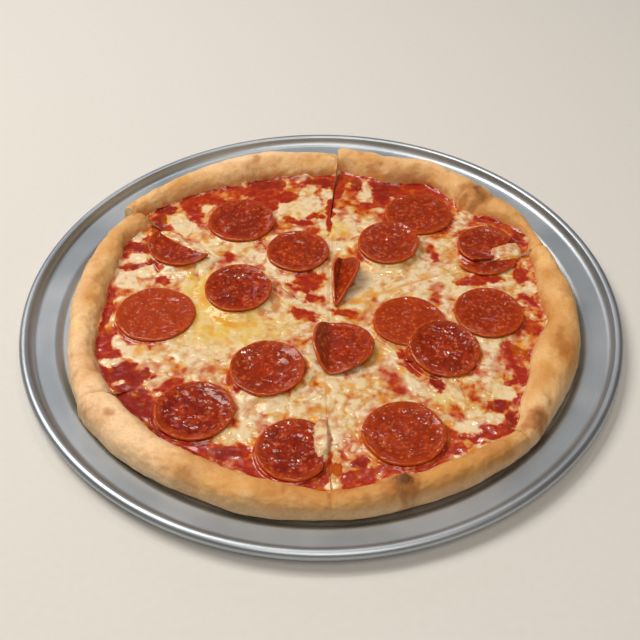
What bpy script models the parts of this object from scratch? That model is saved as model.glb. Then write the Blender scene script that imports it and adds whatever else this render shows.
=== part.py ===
"""A hand-tossed pepperoni pizza, cut into six slices, on its wide-rim round pan.

The pan stands on Z = 0 with its middle on the Z axis. +X is to the right and +Y away from the
front of the pizza. Sizes are named in millimetres and turned into metres when a mesh is made.
"""

import math

import bmesh
import bpy
from mathutils import Matrix, Vector, noise

MM = 0.001

# The gap that separate pieces keep where they touch
GAP = 0.3

# The pan: a flat well, a low step, a wide rim and a rolled bead
PAN_RADIUS = 178.0
PAN_SHEET = 1.0
PAN_WELL_RADIUS = 155.4
PAN_STEP_RADIUS = 159.1
PAN_STEP_HEIGHT = 2.6
PAN_STEP_CORNER = (0.75, 0.88)
PAN_LIP_RADIUS = 168.4
PAN_LIP_HEIGHT = 4.0
PAN_LIP_TURN = math.radians(78.0)
PAN_BEAD_RADIUS = 3.0
PAN_BEAD_HEIGHT = 8.05
PAN_BEAD_CREASE = math.radians(135.0)
PAN_BEAD_END = math.radians(-145.0)
PAN_STEPS = 64
PAN_LIP_STEPS = 4
PAN_BEAD_STEPS = 9

# Where the cuts cross, and the middle that the crust's outline is measured from
CROSSING = (4.5, -18.5)
MIDDLE = (1.3, -5.0)

# The layers, as heights above the table
DOUGH_BOTTOM = PAN_SHEET + GAP
DOUGH_TOP = 5.0
SAUCE_THICK = 1.6
CHEESE_THICK = 2.8
SAUCE_BOTTOM = DOUGH_TOP + GAP
SAUCE_TOP = SAUCE_BOTTOM + SAUCE_THICK
CHEESE_BOTTOM = SAUCE_TOP + GAP
CHEESE_TOP = CHEESE_BOTTOM + CHEESE_THICK

# Half the width of a cut, and the radius where a slice's point begins
CUT_HALF = 0.2
POINT_RADIUS = 1.2

# The cuts wander a little: their directions in degrees at these distances from the crossing
RINGS = (22.0, 44.0, 66.0, 88.0, 160.0)
CUTS = {
    "back": (89.2, 89.4, 89.5, 89.4, 87.2),
    "left_back": (136.0, 135.0, 137.5, 141.3, 142.8),
    "left_front": (211.0, 208.5, 207.4, 207.2, 206.8),
    "front": (267.0, 267.4, 268.3, 269.2, 270.6),
    "right_front": (322.0, 322.3, 322.8, 323.6, 317.5),
    "right": (48.5, 35.5, 32.0, 29.5, 23.6),
}

# Where a cut gapes open: its distance from the crossing, its length and its extra half width
GAPES = {
    "back": (118.0, 60.0, 0.7),
    "left_back": (34.0, 18.0, 0.9),
}

# The slices, each from one cut to the next, counter-clockwise. Given at even steps along the slice:
# the crust's outer and inner radius about the middle, its height above the pan, and the width of
# bare sauce inside it.
SLICES = {
    "slice_1": {"cuts": ("back", "left_back"),
                "outer": (149.5, 154.5, 157.5, 156.0, 160.0),
                "inner": (131.0, 129.0, 129.5, 131.5, 130.5, 136.0, 139.5, 142.0, 146.0),
                "height": (18.5, 20.5, 20.5, 19.5, 17.0),
                "bare": (6.0, 5.0, 6.0, 11.0, 9.0, 8.0, 8.0, 6.0, 9.0)},
    "slice_2": {"cuts": ("left_back", "left_front"),
                "outer": (154.0, 152.2, 150.8, 151.5, 155.0),
                "inner": (134.0, 137.0, 132.0, 131.0, 129.5, 131.5, 135.5, 135.2, 134.0),
                "height": (16.0, 17.5, 18.0, 17.0, 16.5),
                "bare": (5.0, 10.0, 6.0, 5.0, 5.0, 4.0, 4.0, 10.0, 15.0)},
    "slice_3": {"cuts": ("left_front", "front"),
                "outer": (156.0, 153.5, 150.0, 150.0, 148.5),
                "inner": (134.0, 133.0, 131.8, 131.0, 130.6, 131.0, 132.0, 133.6, 136.5),
                "height": (18.0, 16.5, 16.0, 16.5, 14.5),
                "bare": (15.0, 14.0, 9.0, 6.0, 6.0, 5.0, 4.0, 4.0, 9.0)},
    "slice_4": {"cuts": ("front", "right_front"),
                "outer": (148.5, 148.0, 148.0, 148.5, 151.0),
                "inner": (135.5, 134.5, 133.5, 133.3, 133.5, 134.2, 135.0, 137.0, 139.0),
                "height": (15.0, 15.5, 15.5, 15.0, 14.0),
                "bare": (10.0, 8.0, 7.0, 4.0, 3.0, 3.0, 4.0, 7.0, 8.0)},
    "slice_5": {"cuts": ("right_front", "right"),
                "outer": (150.5, 149.5, 151.5, 151.5, 149.5),
                "inner": (138.0, 130.5, 128.0, 124.0, 126.5, 131.5, 128.5, 132.5, 137.0),
                "height": (14.5, 17.0, 18.0, 18.5, 17.0),
                "bare": (8.0, 10.0, 5.0, 4.0, 5.0, 9.0, 5.0, 6.0, 7.0)},
    "slice_6": {"cuts": ("right", "back"),
                "outer": (149.5, 156.5, 156.0, 153.0, 152.0),
                "inner": (137.0, 146.0, 138.0, 128.0, 134.0, 139.0, 129.0, 130.5, 136.0),
                "height": (16.0, 12.0, 17.0, 19.5, 20.5, 21.5, 22.0, 22.0, 22.0),
                "bare": (7.0, 13.0, 8.0, 4.0, 10.0, 12.0, 8.0, 6.0, 8.0)},
}

# Blisters and folds on the crust: their place, radius and height
BLISTERS = [
    (40.0, -136.0, 9.0, 3.0),
    (101.0, 88.0, 13.0, 3.0),
    (44.0, 114.0, 10.0, 2.5),
    (-68.0, -131.0, 9.0, 1.5),
    (-129.0, -84.0, 11.0, 2.0),
    (-116.0, 74.0, 9.0, 2.0),
    (124.0, -48.0, 12.0, 1.5),
]

# How finely the slices are divided, across and along
COLUMNS = 20
BASE_ROWS = (RINGS[1], RINGS[3])
CHEESE_ROWS = RINGS[:4]
CHEESE_MARGIN_ROW = 0.6
CRUST_STATIONS = (0.0, 0.05, 0.15, 0.3, 0.48, 0.66, 0.83, 0.95)
CRUST_ROUNDNESS = 2.3
CRUST_UNDERCUT = 1.6
BELLY_HEIGHT = 3.4

# The bare sauce rises beside the cheese, nearly to its level
SAUCE_MARGIN_TOP = 8.7
SAUCE_MARGIN_RISE = 3.0

# How far the cheese dips between the toppings, the size of its dips, and how far from a topping
# it is level again
CHEESE_DIP = 1.1
CHEESE_DIP_SIZE = 17.0
CHEESE_LEVEL_NEAR = 4.0
CHEESE_LEVEL_FAR = 11.0

# The edge of the cheese: how far it falls and how much it wanders
CHEESE_EDGE_DROP = 1.2
CHEESE_EDGE_WANDER = 2.0
CHEESE_EDGE_WAVES = 9.0

PEPPERONI_THICK = 2.0
PEPPERONI_SIDES = 22
PEPPERONI_INSETS = (0.3, 0.35)

# The round pepperoni: middle, radii across and along, and how far the rim cups up.
# lean is the slope along X and Y, lift raises one that lies over another, and each cut is a point
# and the direction in degrees that is cut away.
PEPPERONI = {
    "pepperoni_01": {"at": (-52.3, 73.5), "radii": (21.9, 21.9), "cup": 1.0},
    "pepperoni_02": {"at": (-88.5, 47.5), "radii": (21.5, 21.5), "cup": 4.0,
                     "cuts": [((-89.5, 48.5), 55.5)]},
    "pepperoni_03": {"at": (-14.8, 42.0), "radii": (19.8, 19.6), "cup": 1.6},
    "pepperoni_04": {"at": (-50.0, 6.2), "radii": (20.4, 21.3), "cup": 3.2,
                     "cuts": [((-33.9, 16.0), 32.0)]},
    "pepperoni_05": {"at": (-97.8, -15.0), "radii": (23.6, 22.4), "cup": 0.6},
    "pepperoni_06": {"at": (42.6, 46.6), "radii": (19.6, 19.2), "cup": 2.2, "lean": (0.035, 0.055),
                     "lift": 0.9},
    "pepperoni_07": {"at": (64.2, 80.6), "radii": (22.3, 21.6), "cup": 0.6},
    "pepperoni_08": {"at": (105.0, 47.0), "radii": (18.6, 18.4), "cup": 2.4,
                     "cuts": [((112.5, 41.5), -38.0), ((100.0, 33.0), -80.0)]},
    "pepperoni_10": {"at": (51.4, -21.0), "radii": (21.2, 20.2), "cup": 0.5},
    "pepperoni_11": {"at": (98.6, -14.4), "radii": (20.3, 21.0), "cup": 1.6},
    "pepperoni_12": {"at": (69.9, -44.4), "radii": (20.3, 20.6), "cup": 1.4, "lean": (-0.068, 0.08),
                     "lift": 0.6},
    "pepperoni_14": {"at": (-29.9, -60.0), "radii": (21.0, 20.8), "cup": 3.4},
    "pepperoni_15": {"at": (-67.8, -89.8), "radii": (21.6, 20.6), "cup": 1.6},
    "pepperoni_16": {"at": (-14.2, -115.8), "radii": (19.8, 20.2), "cup": 1.2,
                     "cuts": [((0.9, -116.0), 0.0)]},
    "pepperoni_17": {"at": (43.3, -105.2), "radii": (22.2, 21.2), "cup": 1.4},
}

# The strip of pepperoni that the cut parted from its slice
STRIP_AT = (103.0, 41.0)
STRIP_RADIUS = 21.0
STRIP_CHORD = (103.0, 31.5)
STRIP_TURN = 100.0

# The folded pepperoni: middle, radius, the fold line's direction, how wide the front end is as a
# share of the back, and for the two sides their width and how steeply they stand in degrees
FOLDED = {
    "pepperoni_09": {"at": (11.0, 14.0), "radius": 21.5, "turn": 83.0, "front": 0.45,
                     "right": (17.5, 42.0), "left": (12.0, 66.0)},
    "pepperoni_13": {"at": (5.0, -42.5), "radius": 20.6, "turn": 90.0, "front": 1.0,
                     "right": (25.5, 9.0), "left": (14.0, 44.0)},
}

COLOURS = {
    "pan": ((0.24, 0.26, 0.28), 0.32, 1.0),
    "dough": ((0.66, 0.38, 0.16), 0.7, 0.0),
    "sauce": ((0.32, 0.02, 0.008), 0.25, 0.0),
    "cheese": ((0.8, 0.6, 0.33), 0.4, 0.0),
    "pepperoni": ((0.38, 0.035, 0.01), 0.3, 0.0),
}


def clear_scene():
    for thing in list(bpy.data.objects):
        bpy.data.objects.remove(thing, do_unlink=True)


def make_material(name):
    colour, roughness, metallic = COLOURS[name]
    material = bpy.data.materials.new(name)
    material.use_nodes = True
    shader = material.node_tree.nodes["Principled BSDF"]
    shader.inputs["Base Color"].default_value = (*colour, 1.0)
    shader.inputs["Roughness"].default_value = roughness
    shader.inputs["Metallic"].default_value = metallic
    return material


def smooth_step(low, high, value):
    t = min(max((value - low) / (high - low), 0.0), 1.0)
    return t * t * (3.0 - 2.0 * t)


def along(values, t):
    """A smooth curve through evenly spaced values, at t from 0 to 1."""
    last = len(values) - 1
    first = min(int(t * last), last - 1)
    u = t * last - first
    before, start = values[max(first - 1, 0)], values[first]
    end, after = values[first + 1], values[min(first + 2, last)]
    bend = 2.0 * before - 5.0 * start + 4.0 * end - after
    twist = 3.0 * (start - end) + after - before
    return start + 0.5 * u * (end - before + u * (bend + u * twist))


def add_object(name, mesh, collection, material):
    mesh.materials.append(material)
    thing = bpy.data.objects.new(name, mesh)
    collection.objects.link(thing)
    return thing


def finish_mesh(name, bm, sharp_degrees):
    """A shaded mesh in metres, from a bmesh in millimetres."""
    bmesh.ops.recalc_face_normals(bm, faces=bm.faces)
    bmesh.ops.scale(bm, vec=(MM, MM, MM), verts=bm.verts)
    mesh = bpy.data.meshes.new(name)
    bm.to_mesh(mesh)
    bm.free()
    mesh.shade_smooth()
    mesh.set_sharp_from_angle(angle=math.radians(sharp_degrees))
    return mesh


# The pan

def pan_top():
    """The upper side of the sheet, from the middle out to where the bead begins."""
    step_top = PAN_SHEET + PAN_STEP_HEIGHT
    lip = PAN_SHEET + PAN_LIP_HEIGHT
    crease = bead_point(PAN_BEAD_CREASE)
    out, up = PAN_STEP_CORNER
    outline = [(0.0, PAN_SHEET), (PAN_WELL_RADIUS, PAN_SHEET)]
    outline.append((PAN_WELL_RADIUS + out * (PAN_STEP_RADIUS - PAN_WELL_RADIUS),
                    PAN_SHEET + up * PAN_STEP_HEIGHT))
    outline.append((PAN_STEP_RADIUS, step_top))
    for step in range(PAN_LIP_STEPS + 1):
        turn = PAN_LIP_TURN * step / PAN_LIP_STEPS
        reach = math.sin(turn) / math.sin(PAN_LIP_TURN)
        rise = (1.0 - math.cos(turn)) / (1.0 - math.cos(PAN_LIP_TURN))
        outline.append((PAN_LIP_RADIUS + (crease[0] - PAN_LIP_RADIUS) * reach,
                        lip + (crease[1] - lip) * rise))
    return outline


def bead_point(angle):
    middle = PAN_RADIUS - PAN_BEAD_RADIUS
    return (middle + PAN_BEAD_RADIUS * math.cos(angle),
            PAN_BEAD_HEIGHT + PAN_BEAD_RADIUS * math.sin(angle))


def pan_outline():
    """The whole cut through the pan: over the top, round the bead, and back underneath."""
    top = pan_top()
    outline = list(top)
    for step in range(1, PAN_BEAD_STEPS + 1):
        turn = PAN_BEAD_CREASE + (PAN_BEAD_END - PAN_BEAD_CREASE) * step / PAN_BEAD_STEPS
        outline.append(bead_point(turn))
    # The underside follows the top, one sheet lower, from inside the lip back to the middle
    for index in range(len(top) - 3, 1, -1):
        before, here, after = (Vector(top[index + k]) for k in (-1, 0, 1))
        normal = ((here - before).normalized() + (after - here).normalized()).normalized()
        outline.append(tuple(here + Vector((normal.y, -normal.x)) * PAN_SHEET))
    outline.append((PAN_WELL_RADIUS + PAN_SHEET / 2.0, 0.0))
    outline.append((0.0, 0.0))
    return outline


def make_pan(collection, material):
    outline = pan_outline()
    mesh = bpy.data.meshes.new("pan")
    mesh.from_pydata([(x * MM, 0.0, z * MM) for x, z in outline],
                     [(i, i + 1) for i in range(len(outline) - 1)], [])
    pan = add_object("pan", mesh, collection, material)
    screw = pan.modifiers.new("turn", "SCREW")
    screw.axis = "Z"
    screw.angle = math.tau
    screw.steps = PAN_STEPS
    screw.render_steps = PAN_STEPS
    screw.use_merge_vertices = True
    screw.merge_threshold = 0.00001
    screw.use_smooth_shade = True
    return pan


# The slices

def ring_point(name, ring):
    angle = math.radians(CUTS[name][ring])
    return Vector((math.cos(angle), math.sin(angle))) * RINGS[ring]


def cut_angle(name, radius):
    """The direction of a cut at a distance from the crossing: straight runs between the rings."""
    if radius <= RINGS[0]:
        return math.radians(CUTS[name][0])
    ring = 0
    while ring < len(RINGS) - 2 and radius > RINGS[ring + 1]:
        ring += 1
    share = (radius - RINGS[ring]) / (RINGS[ring + 1] - RINGS[ring])
    place = ring_point(name, ring).lerp(ring_point(name, ring + 1), share)
    return math.atan2(place.y, place.x)


def cut_half_width(name, radius):
    half = CUT_HALF
    if name in GAPES:
        centre, length, extra = GAPES[name]
        half += extra * smooth_step(length / 2.0, 0.0, abs(radius - centre))
    return half


def slice_point(spec, t, radius):
    """A place in plan: t runs across the slice and radius outward from the crossing."""
    first, second = spec["cuts"]
    start = cut_angle(first, radius)
    end = cut_angle(second, radius)
    span = (end - start) % math.tau
    start += cut_half_width(first, radius) / radius
    end = start + span - (cut_half_width(first, radius) + cut_half_width(second, radius)) / radius
    angle = start + (end - start) * t
    return Vector(CROSSING) + Vector((math.cos(angle), math.sin(angle))) * radius


def reach_to_circle(spec, t, circle_radius):
    """How far the slice's ray goes from the crossing to a circle about the pizza's middle."""
    away = slice_point(spec, t, circle_radius) - Vector(CROSSING)
    ray = away.normalized()
    offset = Vector(CROSSING) - Vector(MIDDLE)
    along_ray = offset.dot(ray)
    return -along_ray + math.sqrt(along_ray ** 2 - offset.length_squared + circle_radius ** 2)


def blister(place):
    rise = 0.0
    for x, y, radius, height in BLISTERS:
        distance = math.hypot(place.x - x, place.y - y)
        rise += height * smooth_step(radius, 0.0, distance)
    return rise


def crust_height(spec, t, s, place):
    """The dough's upper side across its rim: s is 0 where the topping ends and 1 outside."""
    crest = DOUGH_BOTTOM + along(spec["height"], t)
    arch = (1.0 - abs(1.0 - 2.0 * s) ** CRUST_ROUNDNESS) ** (1.0 / CRUST_ROUNDNESS)
    return DOUGH_TOP + (crest + blister(place) - DOUGH_TOP) * arch


def build_slab(name, tops, bottoms, outer_wall):
    """A closed wedge from rows of points over each other. The first row is the slice's point."""
    bm = bmesh.new()
    point_top = bm.verts.new(tops[0][0])
    point_bottom = bm.verts.new(bottoms[0][0])
    upper = [[point_top] * (COLUMNS + 1)]
    lower = [[point_bottom] * (COLUMNS + 1)]
    for row in range(1, len(tops)):
        upper.append([bm.verts.new(p) for p in tops[row]])
        if row == len(tops) - 1 and not outer_wall:
            lower.append(upper[-1])
        else:
            lower.append([bm.verts.new(p) for p in bottoms[row]])
    for j in range(COLUMNS):
        bm.faces.new((point_top, upper[1][j], upper[1][j + 1]))
        bm.faces.new((point_bottom, lower[1][j + 1], lower[1][j]))
        for row in range(1, len(tops) - 1):
            bm.faces.new((upper[row][j], upper[row + 1][j], upper[row + 1][j + 1], upper[row][j + 1]))
            bm.faces.new((lower[row][j], lower[row][j + 1], lower[row + 1][j + 1], lower[row + 1][j]))
        if outer_wall:
            bm.faces.new((upper[-1][j], lower[-1][j], lower[-1][j + 1], upper[-1][j + 1]))
    for j in (0, COLUMNS):
        for row in range(len(tops) - 1):
            ring = [upper[row][j], upper[row + 1][j], lower[row + 1][j], lower[row][j]]
            if lower[row + 1][j] is upper[row + 1][j]:
                ring = [upper[row][j], upper[row + 1][j], lower[row][j]]
            bm.faces.new(ring)
    bmesh.ops.triangulate(bm, faces=bm.faces)
    return finish_mesh(name, bm, 50.0)


def grid_rows(spec, reaches, top_height, bottom_height):
    """The two sheets of points of a layer, from how far each row reaches at each column."""
    middle = slice_point(spec, 0.5, POINT_RADIUS)
    tops = [[(*middle, top_height(0, 0.5, middle))]]
    bottoms = [[(*middle, bottom_height(0, 0.5, middle))]]
    for row in range(len(reaches(0.0))):
        top_row = []
        bottom_row = []
        for j in range(COLUMNS + 1):
            t = j / COLUMNS
            place = slice_point(spec, t, reaches(t)[row])
            top_row.append((*place, top_height(row + 1, t, place)))
            bottom_row.append((*place, bottom_height(row + 1, t, place)))
        tops.append(top_row)
        bottoms.append(bottom_row)
    return tops, bottoms


def inner_reach(spec, t):
    """How far the flat of the slice reaches from the crossing, to the foot of its crust."""
    return reach_to_circle(spec, t, along(spec["inner"], t))


def cheese_reach(spec, t):
    """How far the cheese reaches, short of the crust by the strip of bare sauce."""
    number = list(SLICES.values()).index(spec)
    wander = CHEESE_EDGE_WANDER * noise.noise(Vector((number, t * CHEESE_EDGE_WAVES, 0.0)))
    return inner_reach(spec, t) - along(spec["bare"], t) + wander


def make_dough(name, spec, collection, material):
    flat_rows = len(BASE_ROWS)

    def reaches(t):
        inner = inner_reach(spec, t)
        outer = reach_to_circle(spec, t, along(spec["outer"], t))
        rows = [inner + (outer - inner) * s for s in CRUST_STATIONS]
        return [*BASE_ROWS, *rows, outer]

    def top(row, t, place):
        if row <= flat_rows:
            return DOUGH_TOP
        stations = CRUST_STATIONS + (1.0,)
        s = stations[row - flat_rows - 1]
        if s == 1.0:
            return DOUGH_BOTTOM + BELLY_HEIGHT
        return crust_height(spec, t, s, place)

    def bottom(row, t, place):
        if row <= flat_rows:
            return DOUGH_BOTTOM
        stations = CRUST_STATIONS + (1.0,)
        return DOUGH_BOTTOM + CRUST_UNDERCUT * smooth_step(0.8, 1.05, stations[row - flat_rows - 1])

    tops, bottoms = grid_rows(spec, reaches, top, bottom)
    mesh = build_slab(name, tops, bottoms, outer_wall=False)
    return add_object(name, mesh, collection, material)


def make_sauce(name, spec, collection, material):
    tops_by_row = (SAUCE_TOP, SAUCE_TOP, SAUCE_TOP, SAUCE_TOP, SAUCE_MARGIN_TOP, SAUCE_MARGIN_TOP)

    def reaches(t):
        cheese = cheese_reach(spec, t) + GAP
        edge = inner_reach(spec, t) - GAP
        rise = min(SAUCE_MARGIN_RISE, (edge - cheese) / 2.0)
        return [*BASE_ROWS, cheese, cheese + rise, edge]

    tops, bottoms = grid_rows(spec, reaches,
                              lambda row, t, place: tops_by_row[row],
                              lambda row, t, place: SAUCE_BOTTOM)
    mesh = build_slab(name, tops, bottoms, outer_wall=True)
    return add_object(name, mesh, collection, material)


def covered(place):
    """1 under and close round a slice of pepperoni, falling to 0 away from it."""
    discs = [(spec["at"], max(spec["radii"])) for spec in PEPPERONI.values()]
    discs += [(spec["at"], spec["radius"]) for spec in FOLDED.values()]
    discs.append((STRIP_AT, STRIP_RADIUS))
    nearest = min((place - Vector(at)).length - radius for at, radius in discs)
    return smooth_step(CHEESE_LEVEL_FAR, CHEESE_LEVEL_NEAR, nearest)


def cheese_height(place):
    """The melted cheese dips between the toppings, and never rises above its level."""
    wave = noise.noise(Vector((place.x, place.y, 0.0)) / CHEESE_DIP_SIZE)
    return CHEESE_TOP - CHEESE_DIP * (0.5 + 0.5 * wave) * (1.0 - covered(place))


def make_cheese(name, spec, collection, material):
    rows = len(CHEESE_ROWS) + 2

    def reaches(t):
        edge = cheese_reach(spec, t)
        margin = RINGS[3] + CHEESE_MARGIN_ROW * (edge - RINGS[3])
        return [*CHEESE_ROWS, margin, edge]

    def top(row, t, place):
        drop = CHEESE_EDGE_DROP if row == rows else 0.0
        return cheese_height(place) - drop

    tops, bottoms = grid_rows(spec, reaches, top,
                              lambda row, t, place: CHEESE_BOTTOM)
    mesh = build_slab(name, tops, bottoms, outer_wall=True)
    return add_object(name, mesh, collection, material)


# The pepperoni

def flat_disc(radii):
    """A flat disc as a low cylinder, its faces inset in rings so that it can be bent."""
    bm = bmesh.new()
    bmesh.ops.create_cone(bm, cap_ends=True, cap_tris=False, segments=PEPPERONI_SIDES,
                          radius1=1.0, radius2=1.0, depth=PEPPERONI_THICK)
    caps = [face for face in bm.faces if abs(face.normal.z) > 0.5]
    for inset in PEPPERONI_INSETS:
        bmesh.ops.inset_region(bm, faces=caps, thickness=inset, use_even_offset=False)
        caps = [face for face in caps if face.is_valid]
    bmesh.ops.scale(bm, vec=(radii[0], radii[1], 1.0), verts=bm.verts)
    bmesh.ops.translate(bm, vec=(0.0, 0.0, PEPPERONI_THICK / 2.0), verts=bm.verts)
    return bm


def cut_off(bm, point, degrees):
    """Cuts the disc along a straight line and closes it, dropping the side that degrees points to."""
    towards = Vector((math.cos(math.radians(degrees)), math.sin(math.radians(degrees)), 0.0))
    everything = list(bm.verts) + list(bm.edges) + list(bm.faces)
    cut = bmesh.ops.bisect_plane(bm, geom=everything, dist=0.0001, plane_co=point,
                                 plane_no=towards, clear_outer=True)
    edges = [item for item in cut["geom_cut"] if isinstance(item, bmesh.types.BMEdge)]
    bmesh.ops.contextual_create(bm, geom=edges)


def rest_on_cheese(bm, lift=0.0):
    lowest = min(vertex.co.z for vertex in bm.verts)
    rise = CHEESE_TOP + GAP + lift - lowest
    bmesh.ops.translate(bm, vec=(0.0, 0.0, rise), verts=bm.verts)


def make_pepperoni(name, spec, collection, material):
    bm = flat_disc(spec["radii"])
    centre = Vector((*spec["at"], 0.0))
    for place, degrees in spec.get("cuts", []):
        cut_off(bm, Vector((*place, 0.0)) - centre, degrees)
    lean = spec.get("lean", (0.0, 0.0))
    for vertex in bm.verts:
        x, y, z = vertex.co
        share = math.hypot(x / spec["radii"][0], y / spec["radii"][1])
        vertex.co.z = z + spec["cup"] * share ** 3 + lean[0] * x + lean[1] * y
    bmesh.ops.translate(bm, vec=centre, verts=bm.verts)
    rest_on_cheese(bm, spec.get("lift", 0.0))
    bmesh.ops.triangulate(bm, faces=bm.faces)
    return add_object(name, finish_mesh(name, bm, 50.0), collection, material)


def make_strip(collection, material):
    """The thin piece that the cut parted from a pepperoni slice, lying just in front of it."""
    bm = flat_disc((STRIP_RADIUS, STRIP_RADIUS))
    centre = Vector((*STRIP_AT, 0.0))
    cut_off(bm, Vector((*STRIP_CHORD, 0.0)) - centre, STRIP_TURN)
    bmesh.ops.translate(bm, vec=centre, verts=bm.verts)
    rest_on_cheese(bm)
    bmesh.ops.triangulate(bm, faces=bm.faces)
    name = "pepperoni_18"
    return add_object(name, finish_mesh(name, bm, 50.0), collection, material)


def fold_up(vertex, spec):
    """Bends one side of a disc up about the fold line, which runs along Y."""
    x, y, thick = vertex.co
    if abs(x) < 0.001:
        return
    width, degrees = spec["right"] if x > 0.0 else spec["left"]
    slope = math.radians(degrees)
    taper = spec["front"] + (1.0 - spec["front"]) * smooth_step(-1.0, 0.5, y / spec["radius"])
    across = abs(x) * taper * width / spec["radius"]
    reach = across * math.cos(slope) - thick * math.sin(slope)
    vertex.co.x = math.copysign(reach, x)
    vertex.co.z = across * math.sin(slope) + thick * math.cos(slope)


def make_folded(name, spec, collection, material):
    """A slice of pepperoni that the cutting wheel pressed into a fold."""
    bm = flat_disc((spec["radius"], spec["radius"]))
    everything = list(bm.verts) + list(bm.edges) + list(bm.faces)
    bmesh.ops.bisect_plane(bm, geom=everything, dist=0.0001, plane_co=(0.0, 0.0, 0.0),
                           plane_no=(1.0, 0.0, 0.0))
    for vertex in bm.verts:
        fold_up(vertex, spec)
    turn = Matrix.Rotation(math.radians(spec["turn"] - 90.0), 3, "Z")
    bmesh.ops.rotate(bm, verts=bm.verts, matrix=turn)
    bmesh.ops.translate(bm, vec=(*spec["at"], 0.0), verts=bm.verts)
    rest_on_cheese(bm)
    bmesh.ops.triangulate(bm, faces=bm.faces)
    return add_object(name, finish_mesh(name, bm, 50.0), collection, material)


def main():
    clear_scene()
    collection = bpy.data.collections.new("pepperoni_pizza_on_pan")
    bpy.context.scene.collection.children.link(collection)
    materials = {name: make_material(name) for name in COLOURS}

    make_pan(collection, materials["pan"])
    for name, spec in SLICES.items():
        make_dough(name + "_dough", spec, collection, materials["dough"])
        make_sauce(name + "_sauce", spec, collection, materials["sauce"])
        make_cheese(name + "_cheese", spec, collection, materials["cheese"])
    for name, spec in PEPPERONI.items():
        make_pepperoni(name, spec, collection, materials["pepperoni"])
    for name, spec in FOLDED.items():
        make_folded(name, spec, collection, materials["pepperoni"])
    make_strip(collection, materials["pepperoni"])


main()
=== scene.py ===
# %% [markdown]
# # A pepperoni pizza on its pan
# A hand-tossed pizza lies on a round aluminium pan. It has been cut with a wheel into six slices
# that are still in place. The solids of the pan, the layers and the pepperoni are loaded first, as a
# frame. Each is then replaced by a piece with the same place and size and the look of real food:
# browned dough, melted cheese, wet sauce and oily pepperoni.
# %% Load the frame
import math

import bmesh
import bpy
import numpy as np
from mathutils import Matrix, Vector, noise


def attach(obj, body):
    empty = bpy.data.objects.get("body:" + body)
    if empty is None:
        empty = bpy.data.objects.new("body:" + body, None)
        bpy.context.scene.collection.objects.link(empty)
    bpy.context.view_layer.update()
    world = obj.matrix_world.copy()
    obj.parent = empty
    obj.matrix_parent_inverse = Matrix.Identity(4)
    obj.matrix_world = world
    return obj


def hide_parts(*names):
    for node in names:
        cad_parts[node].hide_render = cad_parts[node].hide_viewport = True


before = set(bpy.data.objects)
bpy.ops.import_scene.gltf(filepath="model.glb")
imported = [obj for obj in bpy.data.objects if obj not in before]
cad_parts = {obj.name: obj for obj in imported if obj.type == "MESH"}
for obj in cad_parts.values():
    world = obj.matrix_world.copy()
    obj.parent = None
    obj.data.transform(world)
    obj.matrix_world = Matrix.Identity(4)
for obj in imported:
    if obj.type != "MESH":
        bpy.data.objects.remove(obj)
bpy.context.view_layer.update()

MM = 0.001

# %% [markdown]
# ## The camera
# The photograph was taken from the front, looking down at about 44 degrees, with a normal lens. A
# focal length of 53.4 mm on a 36 mm wide sensor gives the same perspective in a square picture.
# %% Place the camera
CAMERA_PLACE = (-0.00075, -0.4193, 0.4000)
CAMERA_DIP = 44.20
bpy.ops.object.select_all(action="DESELECT")
bpy.ops.object.camera_add(location=CAMERA_PLACE, rotation=(math.radians(90.0 - CAMERA_DIP), 0.0, 0.0))
camera = bpy.context.object
camera.name = "camera"
camera.data.lens = 53.44
camera.data.sensor_width = 36.0
bpy.context.scene.camera = camera
print("camera height in mm", round(camera.location.z / MM))

# %% [markdown]
# ## Light
# Food is lit from behind, so that sauce, oil and cheese shine towards the camera and the crust
# throws its shadow forward. A large soft light stands at the back left, and a broad one above the
# viewer fills the shadows. Two small lights high at the back make the glints on the oil, and two
# low cool ones behind give the bluish sheen on the far-tilted parts of the pepperoni. The Standard
# view keeps the strong reds, which the default view would wash out.
# %% Set up the lights
def area_light(name, azimuth, elevation, distance, size, power, colour):
    """A square light on a sphere about the pizza, turned to its middle. Azimuth 90 is the back."""
    a, e = math.radians(azimuth), math.radians(elevation)
    away = Vector((math.cos(a) * math.cos(e), math.sin(a) * math.cos(e), math.sin(e)))
    bpy.ops.object.light_add(type="AREA", location=away * distance)
    light = bpy.context.object
    light.name = name
    light.rotation_euler = away.to_track_quat("Z", "Y").to_euler()
    light.data.size = size
    light.data.energy = power
    light.data.color = colour


area_light("key_light", 154.0, 58.0, 1.5, 0.7, 15.5, (1.0, 0.94, 0.86))
area_light("low_back_light", 112.0, 22.0, 1.8, 0.45, 1.5, (0.86, 0.84, 1.0))
area_light("low_right_light", 70.0, 21.0, 1.8, 0.40, 0.8, (0.88, 0.86, 1.0))
area_light("right_glint", 62.0, 64.0, 1.6, 0.08, 1.7, (1.0, 0.98, 0.94))
area_light("left_glint", 116.0, 66.0, 1.6, 0.08, 1.3, (1.0, 0.98, 0.94))
area_light("front_fill", -85.0, 60.0, 1.8, 0.9, 11.5, (1.0, 0.93, 0.84))

WORLD_COLOUR = (1.0, 0.87, 0.74, 1.0)
WORLD_STRENGTH = 0.11
world = bpy.data.worlds.new("studio")
bpy.context.scene.world = world
world.use_nodes = True
backdrop = world.node_tree.nodes["Background"].inputs
backdrop["Color"].default_value = WORLD_COLOUR
backdrop["Strength"].default_value = WORLD_STRENGTH
bpy.context.scene.view_settings.view_transform = "Standard"

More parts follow.
